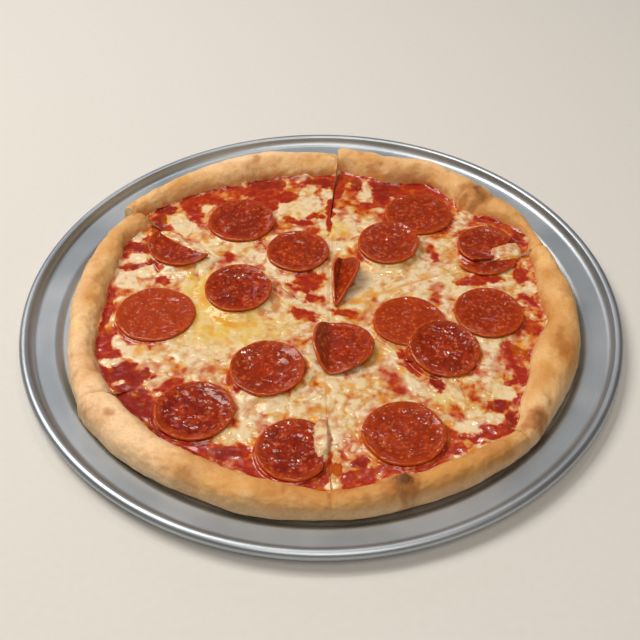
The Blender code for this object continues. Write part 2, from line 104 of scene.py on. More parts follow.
# %% [markdown]
# ## Helpers for materials
# Each finish is one Principled shader. Its colour, roughness and small bumps come from noise
# patterns on Object coordinates, in metres, and from values that the pieces carry on their points.
# Short helpers make the node trees quick to read: a colour starts as a mixture of two, and each
# tint is then laid over what is there already.
# %% Material helpers
def srgb(red, green, blue):
    """A colour as a picture editor names it, from 0 to 255, turned into linear values."""
    return tuple((v / 255.0 / 12.92) if v <= 10 else ((v / 255.0 + 0.055) / 1.055) ** 2.4
                 for v in (red, green, blue))


class Finish:
    """A material with a Principled shader and short ways to add and join nodes."""

    def __init__(self, name, roughness=0.5, **settings):
        self.material = bpy.data.materials.new(name)
        self.material.use_nodes = True
        self.tree = self.material.node_tree
        self.shader = self.tree.nodes["Principled BSDF"]
        self.shader.inputs["Roughness"].default_value = roughness
        for key, value in settings.items():
            self.shader.inputs[key.replace("_", " ")].default_value = value
        self.place = self.node("TexCoord").outputs["Object"]

    def put(self, value, socket):
        if isinstance(value, bpy.types.NodeSocket):
            self.tree.links.new(value, socket)
        elif isinstance(value, tuple) and socket.type == "RGBA":
            socket.default_value = (*value[:3], 1.0)
        else:
            socket.default_value = value

    def node(self, kind, inputs=(), **settings):
        """A new node with its settings, and what goes into its inputs by name or number."""
        node = self.tree.nodes.new("ShaderNode" + kind)
        for key, value in settings.items():
            setattr(node, key, value)
        for key, value in dict(inputs).items():
            self.put(value, node.inputs[key])
        return node

    def noise(self, size, detail=2.0, rough=0.5, place=None):
        """Noise with bumps about `size` millimetres across."""
        return self.node("TexNoise", {"Scale": 1000.0 / size, "Detail": detail, "Roughness": rough,
                                      "Vector": place or self.place}).outputs["Fac"]

    def cells(self, size, place=None):
        """The distance from the middle of cells about `size` millimetres apart."""
        return self.node("TexVoronoi", {"Scale": 1000.0 / size,
                                        "Vector": place or self.place}).outputs["Distance"]

    def mapped(self, where, scale):
        return self.node("Mapping", {"Scale": scale, "Vector": where}).outputs["Vector"]

    def values(self, name):
        """The three values that the piece's points carry under this name."""
        carried = self.node("Attribute", attribute_name=name).outputs["Color"]
        return self.node("SeparateColor", {"Color": carried}).outputs[:3]

    def math(self, operation, a, b, clamp=False):
        return self.node("Math", {0: a, 1: b}, operation=operation, use_clamp=clamp).outputs[0]

    def times(self, a, b):
        return self.math("MULTIPLY", a, b)

    def steps(self, value, low, high, to_low=0.0, to_high=1.0):
        """Turns low..high into to_low..to_high with soft ends."""
        limits = {"From Min": low, "From Max": high, "To Min": to_low, "To Max": to_high}
        return self.node("MapRange", {"Value": value, **limits},
                         interpolation_type="SMOOTHSTEP").outputs["Result"]

    def mix(self, share, a, b):
        return self.node("Mix", {"Factor": share, "A": a, "B": b}, data_type="RGBA").outputs["Result"]

    def start(self, share, first, second):
        """The colour to begin with: a mixture of two, each from 0 to 255."""
        self.colour = self.mix(share, srgb(*first), srgb(*second))

    def tint(self, share, red, green, blue):
        """Mixes a colour, from 0 to 255, into the colour so far."""
        self.colour = self.mix(share, self.colour, srgb(red, green, blue))

    def ramp(self, value, *stops):
        """A run of colours: each stop is a place from 0 to 1, then red, green and blue to 255."""
        node = self.node("ValToRGB", {"Fac": value})
        while len(node.color_ramp.elements) < len(stops):
            node.color_ramp.elements.new(0.5)
        for element, (at, *colour) in zip(node.color_ramp.elements, stops):
            element.position = at
            element.color = (*srgb(*colour), 1.0)
        return node.outputs["Color"]

    def bumps(self, *layers):
        """Bumps from (pattern, height in millimetres) pairs, one on top of the other."""
        normal = None
        for pattern, height in layers:
            below = {"Normal": normal} if normal else {}
            normal = self.node("Bump", {"Distance": height * MM, "Strength": 1.0, "Height": pattern,
                                        **below}).outputs["Normal"]
        self.put(normal, self.shader.inputs["Normal"])
        if self.shader.inputs["Coat Weight"].default_value > 0.0:
            self.put(normal, self.shader.inputs["Coat Normal"])

    def done(self, roughness=None):
        self.put(self.colour, self.shader.inputs["Base Color"])
        if roughness is not None:
            self.put(roughness, self.shader.inputs["Roughness"])
        return self.material


print("white in linear values", srgb(255, 255, 255))

# %% [markdown]
# ## Helpers for shapes
# Every layer is a closed shape that runs from one cut to the next. A cylinder has the same build: its
# end faces become the two cut faces, its rings the sections across the slice, and the points of each
# ring the outline of the layer from its tip to its edge and back underneath. So each layer starts as
# a cylinder, its long edges are subdivided into rings, and every ring is laid on its section.
# %% Shape helpers
def smooth(low, high, value):
    t = np.clip((value - low) / (high - low), 0.0, 1.0)
    return t * t * (3.0 - 2.0 * t)


def waves(x, y, size, depth=1, layer=0.0):
    """Soft unevenness, about -0.7 to 0.7, with bumps about `size` millimetres across."""
    x, y = np.broadcast_arrays(np.asarray(x, float), np.asarray(y, float))
    flat = [noise.fractal(Vector((a / size, b / size, layer)), 1.0, 2.0, depth)
            for a, b in zip(x.ravel(), y.ravel())]
    return np.array(flat).reshape(x.shape)


def along(values, t):
    """A smooth curve through evenly spaced values, at t from 0 to 1."""
    values = np.asarray(values, float)
    last = len(values) - 1
    first = np.minimum((t * last).astype(int), last - 1)
    u = t * last - first
    before, start = values[np.maximum(first - 1, 0)], values[first]
    end, after = values[first + 1], values[np.minimum(first + 2, last)]
    bend = 2.0 * before - 5.0 * start + 4.0 * end - after
    twist = 3.0 * (start - end) + after - before
    return start + 0.5 * u * (end - before + u * (bend + u * twist))


def points_of(piece):
    places = np.empty(len(piece.data.vertices) * 3)
    piece.data.vertices.foreach_get("co", places)
    return places.reshape(-1, 3)


def set_points(piece, *xyz):
    """Lays a piece's points at places in millimetres."""
    piece.data.vertices.foreach_set("co", (np.stack(xyz, axis=1) * MM).ravel())


def finish_piece(piece, name, node, materials, sharp_degrees=50.0):
    """Turns the faces outwards, names the piece, and puts it in the place of its solid."""
    bpy.ops.object.mode_set(mode="EDIT")
    bpy.ops.mesh.select_all(action="SELECT")
    bpy.ops.mesh.normals_make_consistent(inside=False)
    bpy.ops.object.mode_set(mode="OBJECT")
    bpy.ops.object.shade_smooth_by_angle(angle=math.radians(sharp_degrees))
    piece.name = piece.data.name = name
    for material in materials:
        piece.data.materials.append(material)
    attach(piece, "root")
    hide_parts(node)
    return piece


def carry(piece, name, *values):
    """Stores up to three values from 0 to 1 on every point of a piece, for its material."""
    layer = piece.data.color_attributes.new(name, "FLOAT_COLOR", "POINT")
    data = np.zeros((len(piece.data.vertices), 4))
    for channel, value in enumerate(values):
        data[:, channel] = np.clip(value, 0.0, 1.0)
    data[:, 3] = 1.0
    layer.data.foreach_set("color", data.ravel())


def close_end(work, upper, lower, reach):
    """Fills a cut face between its upper and lower chains of points, which run from tip to edge."""
    a, b = 0, 0
    faces = []
    while a < len(upper) - 1 or b < len(lower) - 1:
        if b == len(lower) - 1 or (a < len(upper) - 1 and reach(upper[a + 1]) <= reach(lower[b + 1])):
            corner = (upper[a], upper[a + 1], lower[b])
            a += 1
        else:
            corner = (upper[a], lower[b + 1], lower[b])
            b += 1
        faces.append(work.faces.new([work.verts[int(index)] for index in corner]))
    return faces


def close_ends(piece, ring, side, sections, top_count):
    """Closes both cut faces of a layer and gives them the piece's second material."""
    rings, sides = sections.shape[:2]
    number = np.empty((rings, sides), int)
    number[ring, side] = np.arange(len(ring))
    work = bmesh.new()
    work.from_mesh(piece.data)
    work.verts.ensure_lookup_table()
    for end in (0, rings - 1):
        chain = number[end]
        away = {int(chain[k]): math.hypot(*(sections[end, k, :2] - np.array(CROSSING)))
                for k in range(sides)}
        upper, lower = chain[:top_count], chain[top_count:][::-1]
        for face in close_end(work, upper, lower, lambda index: away[int(index)]):
            face.material_index = 1
    work.to_mesh(piece.data)
    work.free()


def lay_rings(sections, top_count):
    """A cylinder whose rings are laid on the sections. Returns it, and each point's ring and side."""
    rings, sides = sections.shape[:2]
    bpy.ops.object.select_all(action="DESELECT")
    bpy.ops.mesh.primitive_cylinder_add(vertices=sides, radius=1.0, depth=2.0, end_fill_type="NOTHING")
    piece = bpy.context.object
    # The halves first, then each half, so that the rings stand evenly
    for cuts in (1, (rings - 1) // 2 - 1):
        bpy.ops.object.mode_set(mode="EDIT")
        bpy.ops.mesh.select_mode(type="EDGE")
        bpy.ops.mesh.select_all(action="DESELECT")
        bpy.ops.object.mode_set(mode="OBJECT")
        heights = points_of(piece)[:, 2]
        for edge in piece.data.edges:
            first, second = edge.vertices
            edge.select = bool(abs(heights[first] - heights[second]) > 0.001)
        bpy.ops.object.mode_set(mode="EDIT")
        bpy.ops.mesh.subdivide(number_cuts=cuts)
        bpy.ops.object.mode_set(mode="OBJECT")
    places = points_of(piece)
    ring = np.rint((places[:, 2] + 1.0) / 2.0 * (rings - 1)).astype(int)
    turn = np.arctan2(places[:, 1], places[:, 0]) / math.tau * sides
    side = np.rint(turn - turn[0]).astype(int) % sides
    set_points(piece, *sections[ring, side].T)
    piece.data.update()
    close_ends(piece, ring, side, sections, top_count)
    return piece, ring, side


print("a wave", round(float(waves(0.3, 0.7, 1.0)), 3))

# %% [markdown]
# ## The pan
# The pan is spun from one sheet of aluminium: a flat well, a low step, a wide sloping rim, and an
# edge that is rolled into a bead. Spinning it here follows the real making: an outline of the sheet
# is turned once about the middle. The outline is a circle's points laid on the section of the pan.
# %% Sizes of the pan
PAN_RADIUS = 178.0
PAN_SHEET = 1.0
PAN_WELL_RADIUS = 155.4
PAN_STEP_RADIUS = 159.1
PAN_STEP_HEIGHT = 2.6
PAN_LIP_RADIUS = 168.4
PAN_LIP_HEIGHT = 4.0
PAN_LIP_TURN = math.radians(78.0)
PAN_BEAD_RADIUS = 3.0
PAN_BEAD_HEIGHT = 8.05
PAN_TURN_STEPS = 240
PAN_STEP_START = PAN_WELL_RADIUS - 1.5
PAN_STEP_WIDTH = 5.2
PAN_CREASE_TURN = 135.0
PAN_BEAD_SWEEP = 280.0
CURVE_STEPS, BEAD_STEPS = 8, 22


def bead_point(degrees):
    turn = math.radians(degrees)
    return (PAN_RADIUS - PAN_BEAD_RADIUS + PAN_BEAD_RADIUS * math.cos(turn),
            PAN_BEAD_HEIGHT + PAN_BEAD_RADIUS * math.sin(turn))


def pan_section():
    """The cut through the pan as points of radius and height, all the way round the sheet."""
    top = [(radius, PAN_SHEET) for radius in (0.0, 60.0, 120.0, PAN_STEP_START)]
    for step in range(1, CURVE_STEPS + 1):
        share = step / CURVE_STEPS
        rise = float(smooth(0.0, 1.0, share))
        top.append((PAN_STEP_START + PAN_STEP_WIDTH * share ** 1.15, PAN_SHEET + PAN_STEP_HEIGHT * rise))
    lip = PAN_SHEET + PAN_LIP_HEIGHT
    top.append(((PAN_STEP_RADIUS + PAN_LIP_RADIUS) / 2.0,
                (PAN_SHEET + PAN_STEP_HEIGHT + lip) / 2.0 - 0.1))
    crease = bead_point(PAN_CREASE_TURN)
    for step in range(CURVE_STEPS + 1):
        turn = PAN_LIP_TURN * step / CURVE_STEPS
        reach = math.sin(turn) / math.sin(PAN_LIP_TURN)
        rise = (1.0 - math.cos(turn)) / (1.0 - math.cos(PAN_LIP_TURN))
        top.append((PAN_LIP_RADIUS + (crease[0] - PAN_LIP_RADIUS) * reach,
                    lip + (crease[1] - lip) * rise))
    section = list(top)
    section += [bead_point(PAN_CREASE_TURN - PAN_BEAD_SWEEP * step / BEAD_STEPS)
                for step in range(1, BEAD_STEPS + 1)]
    # Back under the sheet, from near the crease to the well
    for index in range(len(top) - 5, 3, -1):
        before, here, after = (Vector(top[index + k]) for k in (-1, 0, 1))
        normal = ((here - before).normalized() + (after - here).normalized()).normalized()
        section.append(tuple(here + Vector((normal.y, -normal.x)) * PAN_SHEET))
    section += [(PAN_WELL_RADIUS - 1.2, 0.0), (80.0, 0.0), (0.0, 0.0)]
    return section


outline = pan_section()
print("points on the pan's section", len(outline))

# %% [markdown]
# The section closes on the axis, where the first and last points meet the middle. After the spin its
# doubled points are merged, so that the pan is one closed shape.
# %% Spin the pan
def spin_pan(material):
    bpy.ops.object.select_all(action="DESELECT")
    bpy.ops.mesh.primitive_circle_add(vertices=len(outline), radius=1.0, fill_type="NOTHING")
    pan = bpy.context.object
    angles = [math.atan2(v.co.y, v.co.x) for v in pan.data.vertices]
    for vertex, angle in zip(pan.data.vertices, angles):
        place = round((angle - angles[0]) / math.tau * len(outline)) % len(outline)
        radius, height = outline[place]
        vertex.co = (radius * MM, 0.0, height * MM)
    bpy.ops.object.mode_set(mode="EDIT")
    bpy.ops.mesh.select_all(action="SELECT")
    bpy.ops.mesh.spin(steps=PAN_TURN_STEPS, angle=math.tau, center=(0.0, 0.0, 0.0), axis=(0.0, 0.0, 1.0))
    bpy.ops.mesh.select_all(action="SELECT")
    bpy.ops.mesh.remove_doubles(threshold=0.00001)
    bpy.ops.mesh.dissolve_degenerate(threshold=0.000001)
    bpy.ops.object.mode_set(mode="OBJECT")
    return finish_piece(pan, "spun_pan", "pan", [material], 60.0)


# %% [markdown]
# Spun aluminium keeps fine rings from the tool and a soft grey sheen, with faint smears where it was
# wiped. The rings follow the distance from the axis, so the pattern is noise on that distance.
# %% The aluminium
def aluminium():
    finish = Finish("spun_aluminium", 0.3, Metallic=1.0)
    height = finish.node("SeparateXYZ", {0: finish.place}).outputs["Z"]
    level = finish.mapped(finish.place, (1.0, 1.0, 0.0))
    away = finish.node("VectorMath", {0: level}, operation="LENGTH").outputs["Value"]
    ring_place = finish.node("CombineXYZ", {"X": away, "Y": finish.times(height, 0.7)}).outputs[0]
    rings = finish.noise(0.5, 3.0, 0.6, ring_place)
    smear = finish.noise(60.0, 3.0)
    finish.start(finish.steps(smear, 0.35, 0.7), (174, 182, 190), (190, 196, 202))
    finish.tint(finish.steps(rings, 0.3, 0.7, 0.0, 0.3), 150, 158, 166)
    finish.bumps((rings, 0.006))
    return finish.done(finish.math("ADD", finish.steps(smear, 0.3, 0.7, 0.38, 0.44),
                                   finish.steps(rings, 0.3, 0.7, 0.0, 0.05)))


pan = spin_pan(aluminium())
print("pan faces", len(pan.data.polygons))

# %% [markdown]
# ## Where the cuts run
# The cutting wheel wandered a little, so each cut is a path of short straight runs. All six cross at
# one place, a little in front of the middle. Two cuts gape where their slices have drawn apart.
# %% The cuts
CROSSING = (4.5, -18.5)
MIDDLE = (1.3, -5.0)
RINGS = (22.0, 44.0, 66.0, 88.0, 160.0)
CUTS = {
    "back": (89.2, 89.4, 89.5, 89.4, 87.2),
    "left_back": (136, 135, 137.5, 141.3, 142.8),
    "left_front": (211, 208.5, 207.4, 207.2, 206.8),
    "front": (267, 267.4, 268.3, 269.2, 270.6),
    "right_front": (322, 322.3, 322.8, 323.6, 317.5),
    "right": (48.5, 35.5, 32, 29.5, 23.6),
}
GAPES = {"back": (118, 60, 0.7), "left_back": (34, 18, 0.9)}
CUT_HALF = 0.05
POINT_RADIUS = 0.3
FAR = 200.0
FLAT_RINGS = (POINT_RADIUS, *RINGS[:-1])
DOUGH_RINGS = (*FLAT_RINGS, 110.0)


def cut_path(name):
    """The points of a cut from the crossing, run on in a straight line past the crust."""
    points = [np.array((math.cos(math.radians(a)), math.sin(math.radians(a)))) * r
              for a, r in zip(CUTS[name], RINGS)]
    share = (FAR - RINGS[-2]) / (RINGS[-1] - RINGS[-2])
    points.append(points[-2] + (points[-1] - points[-2]) * share)
    return np.array(points)


CUT_PATHS = {name: cut_path(name) for name in CUTS}


def cut_angle(name, reach):
    path = CUT_PATHS[name]
    stops = np.array((*RINGS, FAR))
    return np.arctan2(np.interp(reach, stops, path[:, 1]), np.interp(reach, stops, path[:, 0]))


def cut_half_width(name, reach):
    half = np.full(np.shape(reach), CUT_HALF)
    if name in GAPES:
        centre, length, extra = GAPES[name]
        half = half + extra * (1.0 - smooth(0.0, length / 2.0, np.abs(reach - centre)))
    return half


def slice_place(cuts, t, reach):
    """Places in plan: t runs across the slice, reach outwards from the crossing."""
    start, end = cut_angle(cuts[0], reach), cut_angle(cuts[1], reach)
    span = (end - start) % math.tau
    first, second = cut_half_width(cuts[0], reach) / reach, cut_half_width(cuts[1], reach) / reach
    angle = start + first + (span - first - second) * t
    return CROSSING[0] + np.cos(angle) * reach, CROSSING[1] + np.sin(angle) * reach


def reach_to_circle(cuts, t, circle):
    """How far the slice's ray goes from the crossing to a circle about the pizza's middle."""
    x, y = slice_place(cuts, t, circle)
    ray_x, ray_y = (x - CROSSING[0]) / circle, (y - CROSSING[1]) / circle
    off_x, off_y = CROSSING[0] - MIDDLE[0], CROSSING[1] - MIDDLE[1]
    forward = off_x * ray_x + off_y * ray_y
    return -forward + np.sqrt(forward ** 2 - off_x ** 2 - off_y ** 2 + circle ** 2)


def to_cut(name, x, y):
    """How far places lie from a cut, in millimetres."""
    best = np.full(np.shape(x), 1e9)
    run = np.vstack([[0.0, 0.0], CUT_PATHS[name]]) + CROSSING
    for start, end in zip(run[:-1], run[1:]):
        way = end - start
        share = ((x - start[0]) * way[0] + (y - start[1]) * way[1]) / way.dot(way)
        share = np.clip(share, 0.0, 1.0)
        best = np.minimum(best, np.hypot(x - start[0] - share * way[0], y - start[1] - share * way[1]))
    return best


print("cuts", sorted(CUTS))

# %% [markdown]
# ## The slices
# The pizza was stretched by hand, so no two slices have the same crust. For each slice the crust's
# outer and inner radius, its height, and the width of the bare sauce inside it are given at even
# steps from one cut to the next.
# %% The slices' sizes
SLICES = {
    "slice_1": {"cuts": ("back", "left_back"),
                "outer": (149.5, 154.5, 157.5, 156, 160),
                "inner": (131, 129, 129.5, 131.5, 130.5, 136, 139.5, 142, 146),
                "height": (18.5, 20.5, 20.5, 19.5, 17),
                "bare": (6, 5, 6, 11, 9, 8, 8, 6, 9)},
    "slice_2": {"cuts": ("left_back", "left_front"),
                "outer": (154, 152.2, 150.8, 151.5, 155),
                "inner": (134, 137, 132, 131, 129.5, 131.5, 135.5, 135.2, 134),
                "height": (16, 17.5, 18, 17, 16.5),
                "bare": (5, 10, 6, 5, 5, 4, 4, 10, 15)},
    "slice_3": {"cuts": ("left_front", "front"),
                "outer": (156, 153.5, 150, 150, 148.5),
                "inner": (134, 133, 131.8, 131, 130.6, 131, 132, 133.6, 136.5),
                "height": (18, 16.5, 16, 16.5, 14.5),
                "bare": (15, 14, 9, 6, 6, 5, 4, 4, 9)},
    "slice_4": {"cuts": ("front", "right_front"),
                "outer": (148.5, 148, 148, 148.5, 151),
                "inner": (135.5, 134.5, 133.5, 133.3, 133.5, 134.2, 135, 137, 139),
                "height": (15, 15.5, 15.5, 15, 14),
                "bare": (10, 8, 7, 4, 3, 3, 4, 7, 8)},
    "slice_5": {"cuts": ("right_front", "right"),
                "outer": (150.5, 149.5, 151.5, 151.5, 149.5),
                "inner": (138, 130.5, 128, 124, 126.5, 131.5, 128.5, 132.5, 137),
                "height": (14.5, 17, 18, 18.5, 17),
                "bare": (8, 10, 5, 4, 5, 9, 5, 6, 7)},
    "slice_6": {"cuts": ("right", "back"),
                "outer": (149.5, 156.5, 156, 153, 152),
                "inner": (137, 146, 138, 128, 134, 139, 129, 130.5, 136),
                "height": (16, 12, 17, 19.5, 20.5, 21.5, 22, 22, 22),
                "bare": (7, 13, 8, 4, 10, 12, 8, 6, 8)},
}
GAP = 0.3
DOUGH_BOTTOM = 1.3
DOUGH_TOP = 5.0
SAUCE_BOTTOM, SAUCE_TOP = 5.3, 6.9
CHEESE_BOTTOM, CHEESE_TOP = 7.2, 10.0
SECTIONS = 161
EDGE_WANDER = 2.0
EDGE_WAVES = 9.0


def across_slice():
    """Where the sections stand from cut to cut, closer together beside the cuts."""
    even = np.linspace(0.0, 1.0, SECTIONS)
    return 0.6 * even + 0.4 * (0.5 - 0.5 * np.cos(math.pi * even))


def inner_reach(spec, t):
    return reach_to_circle(spec["cuts"], t, along(spec["inner"], t))


def cheese_reach(name, spec, t):
    """How far the cheese goes, short of the crust by the wandering strip of bare sauce."""
    number = list(SLICES).index(name)
    wander = np.array([noise.noise(Vector((number, share * EDGE_WAVES, 0.0))) for share in t])
    return inner_reach(spec, t) - along(spec["bare"], t) + EDGE_WANDER * wander


print("sections in a slice", SECTIONS)

# %% [markdown]
# ## The dough
# The dough is a thin flat base with a risen rim. The rim is a rounded ridge: it climbs steeply from
# the sauce, is fullest near its middle, and rolls under at the outside. A super-ellipse gives that
# outline. Low lumps, folds and blisters are then added along the outline's own normal, and each rim
# rounds down beside the cuts, where the wheel pressed it.
# %% Blisters, folds and browned places
BLISTERS = [
    (40, -137.5, 10, 3.5), (101, 88, 13, 3), (44, 114, 10, 2.5),
    (-68, -131, 9, 1.5), (-129, -84, 11, 2), (-116, 74, 9, 2),
    (124, -48, 12, 1.5),
]
# Folds in the rim: the direction from the middle in degrees, how wide and how deep they are
CREASES = [
    (-174, 2, 0.5), (-120, 2.5, 0.4), (-14, 2, 0.5), (2, 2, 0.4), (41, 3, 1.8), (47, 2.5, 1.2),
    (73, 2.5, 0.4), (118, 3, 0.4), (158, 2.2, 0.4), (-147, 2.5, 0.4),
]
# Browned places on the rim: place, radii, turn in degrees, and how dark
TOASTED = [
    (38.5, -140.5, 9, 6, 10, 0.8), (41.5, -139.5, 4, 3, 0, 1.6), (102, 94, 9, 8, -50, 0.7),
    (96, 90, 3, 7, -40, 0.8), (110, 88, 3, 6, -60, 0.7), (-69, -134, 9, 4, -35, 0.3),
    (-128, -57, 9, 14, 10, 0.25), (113, -98, 8, 5, 45, 0.8), (137, -48, 7, 12, 10, 0.4),
    (-120, 76, 9, 5, -40, 0.45), (-40, 128, 18, 5, 15, 0.3), (44, 122, 12, 6, -15, 0.3),
    (-140, 20, 6, 22, 5, 0.22), (0, -143, 22, 6, 0, 0.25), (90, -116, 14, 6, 30, 0.35),
    (-120, -96, 12, 8, -50, 0.25),
]

# Parts of the rim that are golden, and parts that stayed pale
GOLDEN = [
    (0, -143, 48, 11), (70, -128, 42, 12, 26), (136, -40, 12, 44, 12, 0.9), (118, 74, 14, 40, 35, 0.7),
    (70, 122, 30, 8, -22, 0.25), (-124, 62, 8, 36, -28, 0.8), (-54, 122, 46, 6, 20, 0.25),
    (-60, -128, 26, 10, -22, 0.8),
]
CREAM = [
    (-112, -98, 44, 15, -44), (-138, -60, 10, 26, 15, 0.7), (-146, 10, 6, 50, 0, 0.5),
    (-60, 136, 62, 14, 14), (60, 138, 52, 12, -22, 0.9), (120, -92, 8, 26, -35, 0.4),
]


def in_spots(x, y, spots, fray=0.0, soft=0.45):
    """1 inside the ovals and 0 outside, with frayed soft edges; the strongest oval counts."""
    best = np.zeros(np.shape(x))
    for spot in spots:
        px, py, rx, ry, turn, strength = (*spot, 0.0, 1.0)[:6] if len(spot) == 4 else (*spot, 1.0)[:6]
        a = math.radians(turn)
        dx, dy = x - px, y - py
        u = (dx * math.cos(a) + dy * math.sin(a)) / rx
        v = (-dx * math.sin(a) + dy * math.cos(a)) / ry
        away = np.sqrt(u * u + v * v) + fray
        best = np.maximum(best, strength * (1.0 - smooth(1.0 - soft, 1.0 + soft, away)))
    return best


def blister_rise(x, y):
    rise = np.zeros(np.shape(x))
    for bx, by, radius, height in BLISTERS:
        rise = rise + height * (1.0 - smooth(0.0, radius, np.hypot(x - bx, y - by)))
    return rise


print("toasted places", len(TOASTED))

# %% [markdown]
# The outline of one section runs from the tip of the slice along the flat top, over the rim, round
# its outer foot and back underneath. The rim has the most points, because it is all that shows.
# %% Shape the dough
RIM_STEPS = 52
CURL_STEPS = 9
RIM_ROUNDNESS = 2.3
CURL_WIDTH = 4.2
RIM_LIMIT = 23.2
CUT_DROP, CUT_DROP_WIDTH = 1.4, 3.0
CRUST_RADIUS = 145.0
RIM_OUTLINE = 45.0


def shape_dough(name, spec, material, crumb):
    t = across_slice()
    inner = inner_reach(spec, t)
    outer = reach_to_circle(spec["cuts"], t, along(spec["outer"], t))
    from_cut = np.minimum(t, 1.0 - t) * 2.2 * outer
    drop = CUT_DROP * np.exp(-(from_cut / CUT_DROP_WIDTH) ** 2)
    crest = DOUGH_BOTTOM + along(spec["height"], t) - drop
    centre, half = (inner + outer) / 2.0, (outer - inner) / 2.0
    rows = []

    def row(*values):
        """One line of points: reach, height, place on the rim, and how far it faces out and up."""
        rows.append([np.ones(SECTIONS) * value for value in values])

    for r in DOUGH_RINGS:
        row(r, DOUGH_TOP, 0.0, 0.0, 0.0)
    # Over the rim: 180 degrees is the inner foot, 90 the crest and 0 the outermost point
    for step in range(RIM_STEPS + 1):
        turn = math.pi * (1.0 - step / RIM_STEPS)
        c, s = math.cos(turn), max(math.sin(turn), 0.0)
        side = math.copysign(abs(c) ** (2.0 / RIM_ROUNDNESS), c)
        up = s ** (2.0 / RIM_ROUNDNESS)
        row(centre + half * side, DOUGH_TOP + (crest - DOUGH_TOP) * up, step / RIM_STEPS, c, s)
    # Round the outer foot and under it
    for step in range(1, CURL_STEPS + 1):
        turn = 0.5 * math.pi * step / CURL_STEPS
        row(outer - CURL_WIDTH * (1.0 - math.cos(turn)),
            DOUGH_TOP - (DOUGH_TOP - DOUGH_BOTTOM) * math.sin(turn),
            1.0 + 0.2 * step / CURL_STEPS, math.cos(turn), 0.0)
    for r in reversed(DOUGH_RINGS):
        row(r, DOUGH_BOTTOM, 1.3, 0.0, 0.0)
    reach, height, on_rim, lean_out, lift_up = np.array(rows).transpose(1, 2, 0)

    x, y = slice_place(spec["cuts"], t[:, None], reach)
    azimuth = np.arctan2(y - MIDDLE[1], x - MIDDLE[0])
    # Lumps from the hand and from the oven, along the surface's own normal
    around = azimuth * CRUST_RADIUS
    over = on_rim * RIM_OUTLINE
    relief = (1.3 * waves(around, over * 0.7, 28.0, 2, 11.0) + 0.40 * waves(around, over, 10.0, 2, 12.0)
              + 0.20 * waves(around, over, 4.2, 2, 13.0))
    crease_shade = np.zeros(np.shape(x))
    for degrees, width, depth in CREASES:
        bend = 3.0 * waves(over, 0.0 * over + degrees, 14.0, 1, 17.0)
        away = (azimuth - math.radians(degrees) + math.pi) % math.tau - math.pi
        fold = np.exp(-((away * CRUST_RADIUS + bend) / width) ** 2)
        relief = relief - depth * fold
        # The deepest part of each fold is kept as painted shade for the crust's colour
        crease_shade = np.maximum(crease_shade, 0.5 * depth * fold ** 3)
    shows = smooth(0.0, 0.18, on_rim) * smooth(1.2, 1.0, on_rim)
    blisters = blister_rise(x, y) * shows * lift_up
    reach = reach + relief * shows * lean_out
    height = np.minimum(height + relief * shows * lift_up + blisters, RIM_LIMIT)
    x, y = slice_place(spec["cuts"], t[:, None], reach)

    piece, ring, side = lay_rings(np.stack([x, y, height], axis=2), len(DOUGH_RINGS) + RIM_STEPS + 1)
    brown = in_spots(x, y, TOASTED, 0.5 * waves(x, y, 6.0, 3, 21.0), 0.75)
    brown = brown + 0.36 * smooth(0.02, 0.8, waves(x, y, 10.0, 3, 22.0)) * lift_up
    stain = smooth(0.30, 0.02, on_rim + 0.12 * waves(x, y, 6.0, 2, 23.0)) * (on_rim < 0.9)
    pale = smooth(0.72, 1.0, on_rim)
    golden = smooth(0.55, 1.0, lift_up) * (0.5 + 0.8 * waves(x, y, 22.0, 2, 24.0))
    golden = np.maximum(golden, in_spots(x, y, GOLDEN, 0.5 * waves(x, y, 12.0, 3, 26.0), 0.7))
    carry(piece, "bake", brown[ring, side], stain[ring, side], pale[ring, side])
    cream = in_spots(x, y, CREAM, 0.4 * waves(x, y, 9.0, 2, 25.0), 0.7)
    carry(piece, "crown", golden[ring, side], crease_shade[ring, side], cream[ring, side])
    return finish_piece(piece, name + "_crust", name + "_dough", [material, crumb])


# %% [markdown]
# Baked dough is matt and cream-coloured where it stayed pale, golden on the crown, brown on blisters,
# darker with painted shade in the bottoms of the folds, and stained orange where sauce and oil soaked
# in. Flour leaves a fine dry dust.
# %% The crust's colour
def baked_dough():
    finish = Finish("baked_dough", 0.62, Subsurface_Weight=0.08, Subsurface_Radius=(0.004, 0.002, 0.001),
                    Specular_IOR_Level=0.35)
    brown, stain, pale = finish.values("bake")
    golden, crease_shade, cream = finish.values("crown")
    broad, patch = finish.noise(30.0, 3.0, 0.55), finish.noise(8.0, 4.0, 0.6)
    fine = finish.noise(1.6, 4.0, 0.65)
    toast = finish.math("MULTIPLY", brown, finish.steps(patch, 0.2, 0.75, 0.6, 1.15), clamp=True)
    wet = finish.times(stain, finish.steps(patch, 0.25, 0.65, 0.35, 1.0))
    finish.start(finish.steps(broad, 0.35, 0.68), (238, 190, 124), (246, 208, 152))
    finish.tint(finish.times(golden, 0.85), 206, 140, 62)
    finish.tint(finish.times(cream, 0.85), 252, 216, 172)
    finish.tint(finish.times(pale, 0.6), 248, 214, 172)
    finish.tint(finish.steps(patch, 0.55, 0.8, 0.0, 0.35), 220, 158, 80)
    finish.tint(finish.steps(toast, 0.0, 0.6, 0.0, 0.8), 180, 110, 46)
    finish.tint(finish.steps(toast, 0.55, 1.0, 0.0, 0.9), 96, 50, 22)
    # Painted shade in the bottoms of the folds
    finish.tint(finish.times(crease_shade, 0.45), 140, 84, 38)
    finish.tint(finish.times(wet, 0.8), 216, 128, 44)
    finish.tint(finish.steps(fine, 0.35, 0.60, 0.16, 0.0), 160, 100, 50)
    finish.bumps((finish.noise(7.0, 1.0), 1.0), (finish.noise(2.4, 3.0, 0.6), 0.30))
    return finish.done(finish.steps(wet, 0.0, 1.0, 0.66, 0.40))


